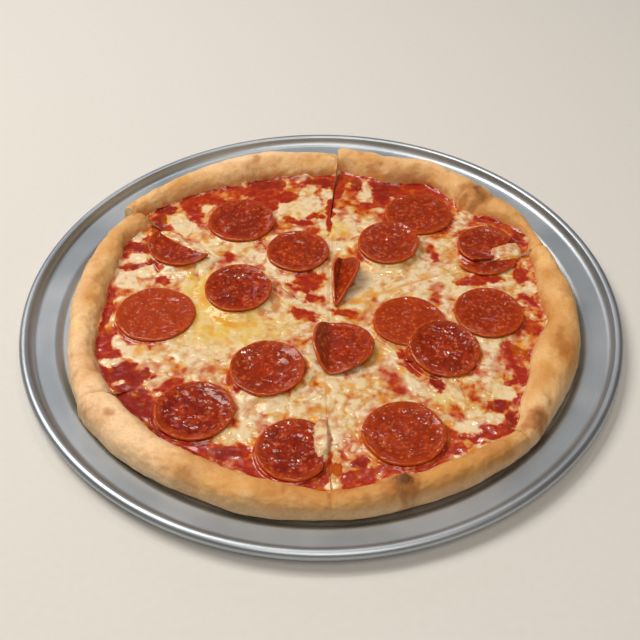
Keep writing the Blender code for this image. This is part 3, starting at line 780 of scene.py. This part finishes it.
def bread_crumb():
    """The pale open inside of the dough, at the cuts."""
    finish = Finish("bread_crumb", 0.8, Subsurface_Weight=0.1, Subsurface_Radius=(0.003, 0.002, 0.001))
    pores_and_shade = finish.cells(2.6)
    # The pores are darker in their middles: painted shade in the holes, on top of their real bumps
    finish.start(finish.steps(pores_and_shade, 0.1, 0.5), (196, 150, 92), (240, 216, 172))
    finish.bumps((pores_and_shade, 1.0), (finish.noise(1.2, 3.0), 0.3))
    return finish.done()


dough, crumb = baked_dough(), bread_crumb()
crusts = [shape_dough(name, spec, dough, crumb) for name, spec in SLICES.items()]
print("crusts", [len(piece.data.vertices) for piece in crusts])

# %% [markdown]
# ## What lies where on the topping
# The cheese melted in pools and lumps, and the sauce shows between them, most of all near the crust.
# Broad noise gives the general mixture. The large patches of sauce, the thick lumps of cheese and the
# oily places are named ovals, because they are part of how this pizza looks.
# %% Sauce, cheese and oil
SAUCE_DEEP = [
    (-38, 115, 12, 4, 5), (-103, 86, 6, 5), (-106, 72, 4, 12), (-112, 48, 9, 7), (-112, 30, 8, 3, 20),
    (-112, -60, 9, 7, 30), (-104, -64, 9, 5, 20), (-107, -72, 6, 4), (-104, -80, 9, 8, -45),
    (-94, -90, 15, 6, -45), (-84, -101, 9, 5, -40), (-50, -117, 8, 4), (5, 116, 4, 8), (-2, 119, 8, 3),
    (25, 113, 4, 8, 10), (40, 112, 10, 6, -10), (43, 104, 6, 6), (101, -94, 2.5, 7, -10),
    (96, -84, 5, 4), (127, 58, 3, 8, -35), (64, -68, 3, 6, 10), (20, -123, 5, 3, 20), (-2, -126, 3, 6),
]
SAUCE_BRIGHT = [
    (-42, 106, 16, 5, -15), (-24, 101, 7, 6), (-33, 93, 4, 6), (-75, 97, 8, 5, -10), (-88, 95, 5, 8),
    (-84, 86, 7, 4, -60), (-19, 76, 6, 2.5, -30), (-11, 74, 5, 3), (-6, 80, 5, 2, 40), (-1, 80, 4, 2),
    (-122, 28, 4, 4), (-100, 30, 5, 6), (-97, 17, 4, 4), (-126.5, -10, 2, 14), (-124, -40, 5, 10),
    (-119, -47, 5, 4), (-112, -33, 4, 4), (-118, -64, 6, 5), (-83, -70, 8, 3, 30, 0.8),
    (-72, -112, 13, 3, -25), (-40, -116, 5, 3), (-30, -128, 12, 4, -20), (-3, -133, 6, 4),
    (2, -120, 3, 12), (19, -131, 9, 4, 10), (32, -123, 3, 4), (8, -128, 2, 5),
    (58, -127, 10, 3, 20, 0.8), (69, -114, 5, 3, 20), (80, -107, 6, 3, -20), (90, -104, 8, 2.5, 20),
    (87, -99, 4, 2), (52, -55, 5, 6), (47, -46, 3, 4), (112, -62, 4, 8, 15, 0.75), (104, -68, 4, 2),
    (108, -42, 4, 5, 0, 0.7), (122, -22, 4, 8, 30, 0.7), (122, 0, 5, 4, 0, 0.7), (98, 17, 12, 4, 5),
    (123, 22, 4, 8, 0, 0.9), (12, 112, 3, 12, -5), (6, 88, 2.5, 9), (5, 72, 1.8, 9, 0, 0.9),
    (58, 107, 22, 7, -5), (42, 97, 8, 5, 0, 0.8), (35, 92, 8, 3, 0, 0.6), (77, 104, 8, 6, -20),
    (112, 76, 7, 3, -10), (127, 67, 5, 3), (124, 45, 3, 6, 0, 0.9), (92, 64, 6, 2, 30, 0.6),
    (70, 45, 3, 9, 10, 0.45), (-8, 15, 10, 8, 40, 0.75), (-10, -14, 9, 5, -30, 0.85),
    (-5, 0, 6, 4, 0, 0.7), (12, -12, 8, 3, -10, 0.7),
]
SAUCE_THIN = [
    (-62, -62, 14, 6, 10, 0.3), (-95, 11, 12, 3, 0, 0.35), (95, -2, 28, 6, 0, 0.25),
    (42, -75, 16, 10, 0, 0.22), (15, -30, 14, 8, 0, 0.3), (-18, -30, 12, 8, 0, 0.35),
    (-72, -47, 6, 6, 0, 0.4), (-12, 62, 10, 5, 0, 0.3), (-68, 30, 5, 6, 0, 0.3),
]
CHEESE_LUMPS = [
    (-115, 38, 6, 5), (-104, 36, 5, 4), (-109, 26, 7, 5), (-118, 58, 4, 4), (-122, 20, 6, 8),
    (-97, 27, 5, 6), (-117, -37, 5, 6), (-108, -44, 7, 4), (-118, -52, 6, 3), (-110, -67, 2, 2),
    (-102, -76, 3, 3), (30, 108, 9, 5, 80), (4, 106, 4, 8), (121, -3, 4, 3), (5, -137, 3, 2),
    (-92, 72, 14, 6, -45), (-76, 90, 3, 5), (-10, 104, 9, 14, 0, 0.35), (-16, 90, 8, 7), (8, 130, 6, 4),
    (50, 90, 4, 4), (92, -94, 5, 4), (76, -100, 6, 4), (100, -76, 6, 5),
]
OILY = [
    (-102, 77, 3, 6), (-81, 60, 3, 3), (-74, 54, 2, 3), (-15, 83, 2, 2), (15, 62, 3, 2.5),
    (-60, -17, 4, 3), (-52, -23, 5, 2.5, -20), (-42, -22, 6, 2), (-2, -69, 4, 2.5),
    (22, -2, 7, 2.5, -10), (30, 4, 6, 2.5, 20), (43, 7, 5, 2, 30), (66, 21, 4, 2.5), (113, -42, 5, 5),
    (46, -59, 3, 3), (14, -70, 4, 2), (25, -52, 4, 6), (32, -47, 5, 6), (68, -97, 3, 3),
    (66, -106, 2, 6), (7, -128, 3, 4), (-4, -95, 3, 3), (-104, -43, 3, 4), (-70, -2, 3, 4),
]
YELLOW = [
    (-58, -20, 34, 22, -20), (-75, 12, 12, 14), (40, 30, 12, 10, 0, 0.5), (10, 66, 8, 10, 0, 0.6),
    (70, -80, 14, 8, 0, 0.4),
]
BROWNED = [
    (-28, -4, 3, 9, 10, 0.6), (-28, 11.5, 1.5, 3.5, 45, 1.2), (-34, -12, 4, 2, 0, 0.5),
]
print("patches of sauce", len(SAUCE_DEEP) + len(SAUCE_BRIGHT) + len(SAUCE_THIN))

# %% [markdown]
# One function gives the height and the make-up of the topping at any place. The cheese and the bare
# sauce beside the crust both take their surface from it, so they meet without a step.
# %% The topping's surface
SAUCE_LEVEL = 8.7
CHEESE_RISE = 1.6
CUP_SHARE = 0.8
TOPPING_LIMIT = 10.6

def disc(x, y, rx, ry, cup, tone, **more):
    """A slice: its middle and radii, how far its rim cups up, and its tone from deep red to orange."""
    return dict(at=(x, y), radii=(rx, ry), cup=cup, tone=tone, cuts=(), lean=(0.0, 0.0), lift=0.0) | more


# A cut is a point on it and the direction of the part that is missing. A slice that lies on
# another one leans, and is lifted a little.
ROUND_PEPPERONI = {
    "pepperoni_01": disc(-52.3, 73.5, 21.9, 21.9, 1.0, 0.2),
    "pepperoni_02": disc(-88.5, 47.5, 21.5, 21.5, 4.0, 0.3, cuts=[((-89.5, 48.5), 55.5)]),
    "pepperoni_03": disc(-14.8, 42.0, 19.8, 19.6, 1.6, 0.4),
    "pepperoni_04": disc(-50.0, 6.2, 20.4, 21.3, 3.2, 0.15, cuts=[((-33.9, 16.0), 32.0)]),
    "pepperoni_05": disc(-97.8, -15.0, 23.6, 22.4, 0.6, 1.0),
    "pepperoni_06": disc(42.6, 46.6, 19.6, 19.2, 2.2, 0.5, lean=(0.035, 0.055), lift=0.9),
    "pepperoni_07": disc(64.2, 80.6, 22.3, 21.6, 0.6, 0.5),
    "pepperoni_08": disc(105.0, 47.0, 18.6, 18.4, 2.4, 0.4,
                         cuts=[((112.5, 41.5), -38.0), ((100.0, 33.0), -80.0)]),
    "pepperoni_10": disc(51.4, -21.0, 21.2, 20.2, 0.5, 0.8),
    "pepperoni_11": disc(98.6, -14.4, 20.3, 21.0, 1.6, 0.5),
    "pepperoni_12": disc(69.9, -44.4, 20.3, 20.6, 1.4, 0.2, lean=(-0.068, 0.08), lift=0.6),
    "pepperoni_14": disc(-29.9, -60.0, 21.0, 20.8, 3.4, 0.4),
    "pepperoni_15": disc(-67.8, -89.8, 21.6, 20.6, 1.6, 0.0),
    "pepperoni_16": disc(-14.2, -115.8, 19.8, 20.2, 1.2, 0.1, cuts=[((0.9, -116.0), 0.0)]),
    "pepperoni_17": disc(43.3, -105.2, 22.2, 21.2, 1.4, 0.6),
}
# The direction of the fold, how narrow its front is, and the width and slope of both its sides
FOLDED_PEPPERONI = {
    "pepperoni_09": dict(at=(11.0, 14.0), radius=21.5, turn=83.0, front=0.45, right=(17.5, 42.0),
                         left=(12.0, 66.0), tone=0.4),
    "pepperoni_13": dict(at=(5.0, -42.5), radius=20.6, turn=90.0, front=1.0, right=(25.5, 9.0),
                         left=(14.0, 44.0), tone=0.3),
}
# The front part of slice 08, which the wheel cut off and left lying flat
CUT_OFF = disc(103.0, 41.0, 21.0, 21.0, 0.0, 0.2, cuts=[((103.0, 31.5), 100.0)])


def rim_of(spec, x, y):
    """How far places lie outside a slice's rim, and how high its underside is there."""
    rx, ry = spec["radii"]
    dx, dy = x - spec["at"][0], y - spec["at"][1]
    share = np.hypot(dx / rx, dy / ry)
    away = (share - 1.0) * 0.5 * (rx + ry)
    for (px, py), degrees in spec["cuts"]:
        a = math.radians(degrees)
        away = np.maximum(away, (x - px) * math.cos(a) + (y - py) * math.sin(a))
    lean = spec["lean"]
    under = CHEESE_TOP + GAP + spec["lift"] + CUP_SHARE * spec["cup"] * np.minimum(share, 1.0) ** 3
    under = under + lean[0] * (dx + rx) + lean[1] * (dy + ry) * (lean[1] > 0.0)
    return away, under


# The cheese that lies over the edge of a slice: place, radii, turn and height
FLAPS = [
    (114.5, 40.5, 8, 6.4, 20, 13.4), (120, 43.5, 6.5, 7, 0, 12.8), (0.2, -108, 4, 14, 3, 13.8),
    (-80, 45, 9, 3.2, -32, 12.8), (-95, 57, 9, 3.5, -34, 12.4),
]
# How much oil has run along each cut
CUT_OIL = {"right": 1.0, "left_front": 0.55, "right_front": 0.35, "front": 0.2, "left_back": 0.3,
           "back": 0.0}


def topping(x, y):
    """Height of the topping, then the share of cheese, oil and yellow, and of brown and deep red."""
    warp_x = x + 3.0 * waves(x, y, 12.0, 1, 9.1)
    warp_y = y + 3.0 * waves(x, y, 12.0, 1, 9.2)
    fray = 0.60 * waves(warp_x, warp_y, 5.0, 3, 1.0)
    broad = waves(x, y, 26.0, 2, 2.0)
    lumps = waves(warp_x, warp_y, 11.0, 2, 3.0)
    curds = waves(warp_x, warp_y, 4.0, 2, 4.0)
    veins = 1.0 - smooth(0.0, 0.16, np.abs(waves(warp_x, warp_y, 8.0, 2, 4.5)))
    deep = in_spots(x, y, SAUCE_DEEP, fray)
    bright = in_spots(x, y, SAUCE_BRIGHT, fray)
    thin = in_spots(x, y, SAUCE_THIN, fray, 0.8)
    white = in_spots(x, y, CHEESE_LUMPS, 0.7 * fray)
    yellow = in_spots(x, y, YELLOW, 0.5 * fray, 0.7)
    edge = smooth(88.0, 130.0, np.hypot(x - MIDDLE[0], y - MIDDLE[1]))

    # How much cheese: the broad mixture first, then bare veins, and then the named places
    amount = 0.86 + 0.50 * broad + 0.66 * lumps + 0.34 * curds
    amount = amount - 0.36 * edge + 0.35 * yellow - 0.22 * smooth(40.0, 115.0, y)
    amount = amount - 0.30 * veins * (1.0 - 0.7 * yellow) * smooth(-0.3, 0.3, broad + 0.4 * edge)
    amount = amount - 1.45 * np.maximum(deep, bright) - 0.8 * thin + 1.3 * white

    # Near a slice of pepperoni the surface is drawn to its underside
    nearest = np.full(np.shape(x), 99.0)
    pull, carried, mound = np.zeros(np.shape(x)), np.zeros(np.shape(x)), np.zeros(np.shape(x))
    for spec in ROUND_PEPPERONI.values():
        rim, under = rim_of(spec, x, y)
        nearest = np.minimum(nearest, rim)
        out = np.maximum(rim, 0.0)
        mound = np.maximum(mound, 0.35 * spec["cup"] * np.exp(-(out / 6.0) ** 2))
        weight = np.exp(-(out / (1.0 + 0.30 * spec["cup"])) ** 2)
        target = under - 0.15 + (0.75 - 0.35 * spec["cup"]) * smooth(-0.3, 0.2, rim)
        carried = np.where(weight > pull, target, carried)
        pull = np.maximum(pull, weight)
    amount = amount - 0.22 * smooth(4.0, 0.3, np.abs(nearest))
    cheese = smooth(-0.15, 1.15, amount)
    rise = smooth(0.0, 0.95, amount)
    height = SAUCE_LEVEL + CHEESE_RISE * rise * (0.85 + 0.45 * lumps) + 0.20 * curds

    oil = in_spots(x, y, OILY, fray)
    for name, share in CUT_OIL.items():
        run = smooth(1.5, 0.2, to_cut(name, x, y))
        height = height - 0.4 * run
        oil = np.maximum(oil, share * run * smooth(-0.35, 0.1, waves(x, y, 9.0, 1, 5.0)))
    height = np.minimum(height, TOPPING_LIMIT - 0.15 + 0.15 * lumps)
    height = height + mound * smooth(-0.5, 0.5, nearest)
    height = height + (carried + 0.25 * curds * (nearest > 0.0) - height) * pull
    for px, py, rx, ry, turn, top in FLAPS:
        over = in_spots(x, y, [(px, py, rx, ry, turn, 1.0)], 0.15 * lumps + 0.25 * curds, 0.6)
        level = CHEESE_TOP + (top + 0.15 * curds + 0.3 * lumps - CHEESE_TOP) * smooth(0.0, 0.8, over)
        height = np.maximum(height, level)
        cheese = np.maximum(cheese, smooth(0.1, 0.6, over) * (0.80 + 0.4 * curds))
    oil = np.maximum(oil, 0.75 * smooth(0.30, 0.5, waves(warp_x, warp_y, 5.0, 2, 6.0)))
    beside = 0.6 * smooth(2.6, 0.4, np.abs(nearest))
    oil = np.maximum(oil, beside * smooth(0.0, 0.3, waves(x, y, 8.0, 1, 7.0)))
    brown = in_spots(x, y, BROWNED, fray)
    return height, (cheese, oil, yellow, brown, deep)


sample = topping(np.array([0.0, -60.0]), np.array([60.0, -20.0]))
print("topping height at two places", np.round(sample[0], 2))

# %% [markdown]
# ## Cheese and sauce
# The cheese lies on the sauce as one melted sheet a slice. Its top has a point about every
# millimetre, so that pools and lumps are real shape. The sauce runs under the cheese and comes out
# beside the crust, where it creeps a little way up the dough.
# %% Shape the cheese and the sauce
CHEESE_ROWS = 140
MARGIN_ROWS = 22
SEAM = 0.06
SAUCE_ON_CRUST = 1.6


def shape_layer(layer, name, spec, material, reach, bottom, hidden_level=None):
    """A layer of a slice from its tip: what the layer above hides, what shows, and the underside."""
    base = np.tile(FLAT_RINGS, (SECTIONS, 1))
    hidden = reach[:, :0] if hidden_level is None else np.hstack([base, reach[:, :1]])
    under = np.hstack([reach[:, -1:], base[:, ::-1]])
    t = across_slice()[:, None]
    x, y = slice_place(spec["cuts"], t, reach)
    height, made_of = topping(x, y)
    if hidden_level is not None:
        creep = 0.9 + 1.6 * smooth(-0.2, 0.4, waves(x, y, 9.0, 2, 8.0))
        height = height + creep * smooth(3.2, 0.4, reach[:, -1:] - reach)
    plan = slice_place(spec["cuts"], t, np.hstack([hidden, reach, under]))
    level = np.hstack([np.full(hidden.shape, hidden_level or 0.0), height, np.full(under.shape, bottom)])
    piece, ring, side = lay_rings(np.stack([*plan, level], axis=2), hidden.shape[1] + reach.shape[1])
    values = [np.hstack([np.repeat(v[:, :1], hidden.shape[1], axis=1), v,
                         np.repeat(v[:, -1:], under.shape[1], axis=1)])[ring, side] for v in made_of]
    carry(piece, "melt", *values[:3])
    carry(piece, "cooked", *values[3:])
    return finish_piece(piece, name + layer[0], name + layer[1], [material, material])


def shape_cheese(name, spec, material):
    edge = cheese_reach(name, spec, across_slice())[:, None]
    rows = np.linspace(0.0, 1.0, CHEESE_ROWS + 1) ** 0.85
    reach = POINT_RADIUS + (edge - POINT_RADIUS) * rows
    return shape_layer(("_melted_cheese", "_cheese"), name, spec, material, reach, CHEESE_BOTTOM)


def shape_sauce(name, spec, material):
    t = across_slice()
    start = (cheese_reach(name, spec, t) + SEAM)[:, None]
    end = (inner_reach(spec, t) + SAUCE_ON_CRUST)[:, None]
    reach = start + (end - start) * np.linspace(0.0, 1.0, MARGIN_ROWS + 1)
    return shape_layer(("_tomato_sauce", "_sauce"), name, spec, material, reach, SAUCE_BOTTOM, SAUCE_TOP)


# %% [markdown]
# The share of cheese at each point picks the colour: red sauce, orange where oil and sauce run
# together, pink where the cheese is thin, then cream. Fine noise breaks up every border. Sauce and
# oil are glossy, cheese is a little duller.
# %% The topping's colours
def melted_topping():
    finish = Finish("melted_topping", 0.35, Coat_Weight=0.5, Coat_Roughness=0.12, Specular_IOR_Level=0.3,
                    Subsurface_Weight=0.12, Subsurface_Radius=(0.004, 0.0015, 0.0008))
    cheese, oil, yellow = finish.values("melt")
    brown, deep, _ = finish.values("cooked")
    patch, fine, mottle = finish.noise(5.0), finish.noise(1.5, 3.0, 0.6), finish.noise(2.8)
    amount = finish.math("ADD", cheese, finish.steps(fine, 0.3, 0.7, -0.04, 0.04))
    amount = finish.math("ADD", amount, finish.steps(mottle, 0.3, 0.7, -0.04, 0.05))
    amount = finish.math("ADD", amount, finish.steps(patch, 0.3, 0.7, -0.14, 0.18), clamp=True)
    pink = finish.ramp(amount, (0.0, 156, 32, 12), (0.18, 172, 50, 24), (0.34, 188, 80, 50),
                       (0.50, 200, 118, 84), (0.66, 206, 146, 106), (0.82, 214, 174, 132),
                       (1.0, 230, 208, 172))
    orange = finish.ramp(amount, (0.0, 162, 40, 12), (0.18, 186, 66, 18), (0.34, 198, 98, 32),
                         (0.50, 206, 132, 58), (0.66, 210, 156, 90), (0.82, 216, 180, 122),
                         (1.0, 230, 206, 160))
    red, pale = finish.steps(amount, 0.45, 0.15), finish.steps(amount, 0.5, 0.8)
    curdy = finish.times(yellow, finish.steps(finish.noise(9.0), 0.35, 0.6, 0.45, 0.9))
    greasy = finish.times(oil, finish.steps(patch, 0.3, 0.6, 0.5, 1.0))
    finish.colour = finish.mix(finish.steps(finish.noise(13.0), 0.40, 0.62), pink, orange)
    finish.tint(finish.times(red, finish.times(deep, 0.75)), 128, 20, 10)
    finish.tint(finish.times(pale, curdy), 222, 182, 66)
    finish.tint(finish.times(greasy, finish.steps(amount, 0.15, 0.55, 0.25, 0.8)), 222, 150, 22)
    finish.tint(finish.steps(brown, 0.05, 0.6, 0.0, 0.75), 190, 118, 56)
    finish.tint(finish.steps(brown, 0.75, 1.0, 0.0, 0.9), 96, 54, 20)
    finish.bumps((finish.noise(7.5, 1.0, 0.4), 1.3), (finish.noise(2.8, 0.0), 0.14))
    rough = finish.steps(amount, 0.1, 0.8, 0.26, 0.38)
    return finish.done(finish.math("SUBTRACT", rough, finish.times(greasy, 0.12)))


topping_finish = melted_topping()
cheeses = [shape_cheese(name, spec, topping_finish) for name, spec in SLICES.items()]
sauces = [shape_sauce(name, spec, topping_finish) for name, spec in SLICES.items()]
print("cheese points", sum(len(piece.data.vertices) for piece in cheeses))

# %% [markdown]
# ## The pepperoni
# Pepperoni is cut about 2 mm thick. In the oven the rims shrink and cup upwards, by a different
# amount on every slice, and some lie flat in the cheese. A UV sphere has rings from pole to pole:
# they are laid out over the top, round the rim and back under the slice.
# %% A slice of pepperoni
PEPPERONI_THICK = 2.0
RIM_UNDER = 0.7
TOP_RINGS, RIM_RINGS = 24, 4
ALL_RINGS = 2 * (TOP_RINGS + RIM_RINGS)
DISC_SEGMENTS = 96
DISC_Z = CHEESE_TOP + GAP
RIM_WIDTH = 1.1
FOLD_BEND = 3.0
FIRST_SEED = 30.0


def disc_points(piece, rx, ry, seed):
    """Lays a sphere's rings on a flat slice. Returns its points and how far out each one lies."""
    places = points_of(piece)
    ring = np.rint(np.arccos(np.clip(places[:, 2], -1.0, 1.0)) / math.pi * ALL_RINGS)
    azimuth = np.arctan2(places[:, 1], places[:, 0])
    rim = 1.0 - RIM_WIDTH / ((rx + ry) / 2.0)
    top = ring <= TOP_RINGS
    under = ring >= ALL_RINGS - TOP_RINGS
    share = np.where(top, rim * ring / TOP_RINGS, rim * (ALL_RINGS - ring) / TOP_RINGS)
    turn = np.clip((ring - TOP_RINGS) / (2.0 * RIM_RINGS), 0.0, 1.0) * math.pi
    share = np.where(top | under, share, rim + (1.0 - rim) * np.sin(turn))
    height = np.where(top, PEPPERONI_THICK, 0.0)
    height = np.where(top | under, height, PEPPERONI_THICK * (0.5 + 0.5 * np.cos(turn)))
    wobble = 1.0 + 0.030 * waves(2.0 * np.cos(azimuth), 2.0 * np.sin(azimuth), 1.3, 2, seed)
    x, y = share * rx * wobble * np.cos(azimuth), share * ry * wobble * np.sin(azimuth)
    uneven = 0.35 * waves(x, y, 9.0, 2, seed + 5.0) + 0.16 * waves(x, y, 3.0, 2, seed + 7.0)
    bent = share * (rx + ry) / 2.0 + 3.5 * waves(x, y, 8.0, 1, seed + 9.0)
    uneven = uneven + 0.36 * waves(bent, 0.0 * bent, 3.6, 1, seed + 8.0) * smooth(0.2, 0.5, share)
    height = height + np.where(height > 1.0, uneven, 0.0) * smooth(1.0, 0.85, share)
    height = height + np.where(height > 1.0, 0.25 * np.exp(-((share - 0.93) / 0.05) ** 2), 0.0)
    height = np.maximum(height, RIM_UNDER * smooth(0.75, 1.0, share))
    return x, y, height, share


def new_disc():
    bpy.ops.object.select_all(action="DESELECT")
    bpy.ops.mesh.primitive_uv_sphere_add(segments=DISC_SEGMENTS, ring_count=ALL_RINGS, radius=1.0)
    return bpy.context.object


def cut_disc(piece, point, degrees):
    """Cuts a slice along a straight line and fills the cut, dropping the side that degrees points to."""
    a = math.radians(degrees)
    bpy.ops.object.mode_set(mode="EDIT")
    bpy.ops.mesh.select_all(action="SELECT")
    bpy.ops.mesh.bisect(plane_co=(point[0] * MM, point[1] * MM, 0.0),
                        plane_no=(math.cos(a), math.sin(a), 0.0),
                        use_fill=True, clear_outer=True, threshold=0.000001)
    bpy.ops.object.mode_set(mode="OBJECT")


def shape_round(number, name, spec, material):
    piece = new_disc()
    rx, ry = spec["radii"]
    x, y, height, share = disc_points(piece, rx, ry, FIRST_SEED + number)
    tilt = spec["lean"][0] * x + spec["lean"][1] * y
    around = np.arctan2(y, x)
    height = height + CUP_SHARE * spec["cup"] * share ** 3 + tilt
    height = height + 0.5 * share ** 4 * waves(3.0 * np.cos(around), 3.0 * np.sin(around), 2.2, 1,
                                               60.0 + number)
    lowest = spec["lean"][0] * x.min() + spec["lean"][1] * y.min()
    height = np.maximum(height - min(lowest, 0.0), 0.0) + DISC_Z + spec["lift"]
    set_points(piece, x + spec["at"][0], y + spec["at"][1], height)
    carry(piece, "disc", share, 0.0 * share + spec["tone"])
    for point, degrees in spec["cuts"]:
        cut_disc(piece, point, degrees)
    return finish_piece(piece, name + "_slice", name, [material], 55.0)


def shape_folded(number, name, spec, material):
    """A slice that the cutting wheel pressed into a fold: each side bends up about the fold line."""
    piece = new_disc()
    radius = spec["radius"]
    x, y, thick, share = disc_points(piece, radius, radius, FIRST_SEED + number)
    taper = spec["front"] + (1.0 - spec["front"]) * smooth(-1.0, 0.5, y / radius)
    width = np.where(x > 0.0, spec["right"][0], spec["left"][0])
    slope = np.radians(np.where(x > 0.0, spec["right"][1], spec["left"][1]))
    across = np.abs(x) * taper * width / radius
    turn = slope * np.minimum(across / FOLD_BEND, 1.0)
    beyond = np.maximum(across - FOLD_BEND, 0.0)
    run = FOLD_BEND / slope * np.sin(turn) + beyond * np.cos(slope)
    rise = FOLD_BEND / slope * (1.0 - np.cos(turn)) + beyond * np.sin(slope)
    fx = np.copysign(run - thick * np.sin(turn), x)
    fx = np.where(across < 0.01, 0.0, fx)
    uneven = 0.35 * waves(x, y, 8.0, 2, 70.0 + number) * smooth(4.0, 14.0, across)
    fz = rise + thick * np.cos(turn) + uneven
    a = math.radians(spec["turn"] - 90.0)
    px = fx * math.cos(a) - y * math.sin(a) + spec["at"][0]
    py = fx * math.sin(a) + y * math.cos(a) + spec["at"][1]
    set_points(piece, px, py, np.maximum(fz, 0.0) + DISC_Z)
    # The third value marks the left side of the fold, which gets a painted sheen
    carry(piece, "disc", share, 0.0 * share + spec["tone"], smooth(0.0, -4.0, x))
    return finish_piece(piece, name + "_slice", name, [material], 55.0)


# %% [markdown]
# Pepperoni is a coarse mince of lean meat and fat, so its face is mottled red with small paler
# specks. Its rim bakes orange-brown, and the thin bright orange line along its very edge is a painted
# highlight. The left side of each fold is tinted brown as a painted sheen. Rendered fat lies on it as
# a glossy, uneven film.
# %% The pepperoni's colour
def cured_sausage():
    finish = Finish("cured_sausage", 0.5, Coat_Weight=0.5, Coat_Roughness=0.11, Specular_IOR_Level=0.08,
                    Subsurface_Weight=0.06, Subsurface_Radius=(0.002, 0.0006, 0.0003))
    share, own, fold_side_sheen = finish.values("disc")
    broad, mince = finish.noise(10.0, 3.0, 0.55), finish.noise(2.8, 4.0, 0.65)
    fine = finish.noise(0.9, 3.0, 0.6)
    # A little noise on the place breaks the round outline of the specks
    shift = finish.node("TexNoise", {"Scale": 400.0, "Vector": finish.place}).outputs["Color"]
    small = finish.mapped(shift, (0.0022, 0.0022, 0.0022))
    bent = finish.node("VectorMath", {0: finish.place, 1: small}, operation="ADD").outputs[0]
    specks = finish.cells(3.2, bent)
    # The wrinkles run round the slice, so their noise reads how far out a point lies
    wound = finish.node("CombineXYZ", {"X": finish.times(share, 0.018), "Y": own,
                                       "Z": finish.times(finish.noise(8.0, 1.0), 0.014)}).outputs[0]
    wrinkles = finish.noise(3.4, 1.0, 0.5, wound)
    finish.start(finish.steps(mince, 0.35, 0.65), (118, 18, 2), (162, 44, 7))
    finish.tint(finish.steps(broad, 0.40, 0.62, 0.0, 0.7), 104, 14, 3)
    finish.tint(finish.times(own, 0.5), 184, 66, 16)
    # Painted sheen: the left side of each fold is tinted brown
    finish.tint(finish.times(fold_side_sheen, 0.5), 138, 58, 26)
    fat = finish.times(finish.steps(specks, 0.38, 0.16), finish.steps(mince, 0.40, 0.56))
    finish.tint(finish.times(fat, 0.5), 214, 120, 60)
    finish.tint(finish.steps(finish.noise(3.6, place=bent), 0.57, 0.68, 0.0, 0.42), 206, 104, 54)
    finish.tint(finish.steps(fine, 0.55, 0.75, 0.0, 0.35), 200, 84, 30)
    rim = finish.math("ADD", share, finish.steps(mince, 0.3, 0.7, -0.03, 0.03))
    finish.tint(finish.steps(rim, 0.74, 0.90, 0.0, 0.55), 170, 62, 12)
    # Painted highlight: a thin bright orange line along the outer edge
    finish.tint(finish.steps(rim, 0.94, 0.98, 0.0, 0.8), 196, 82, 20)
    wet = finish.steps(finish.noise(11.0, 1.0), 0.40, 0.58, 0.18, 0.80)
    finish.put(wet, finish.shader.inputs["Coat Weight"])
    finish.bumps((finish.noise(7.0, 1.0, 0.4), 1.0), (finish.noise(2.6, 0.0), 0.26), (wrinkles, 0.36))
    return finish.done(finish.steps(broad, 0.3, 0.7, 0.40, 0.55))


sausage = cured_sausage()
number = 0
for shape, slices in ((shape_round, ROUND_PEPPERONI), (shape_folded, FOLDED_PEPPERONI)):
    for name, spec in slices.items():
        number += 1
        shape(number, name, spec, sausage)
shape_round(number + 1, "pepperoni_18", CUT_OFF, sausage)
print("slices of pepperoni", number + 1)

# %% [markdown]
# ## The floor
# A plain pale surface takes the pan's shadow.
# %% Lay the floor
def pale_floor():
    finish = Finish("pale_floor", 0.7)
    fine = finish.noise(4.0, 3.0)
    finish.start(fine, (214, 212, 208), (220, 218, 214))
    finish.bumps((fine, 0.02))
    return finish.done()


bpy.ops.object.select_all(action="DESELECT")
bpy.ops.mesh.primitive_plane_add(size=6.0, location=(0.0, 0.0, 0.0))
floor = bpy.context.object
floor.name = "floor"
floor.data.materials.append(pale_floor())
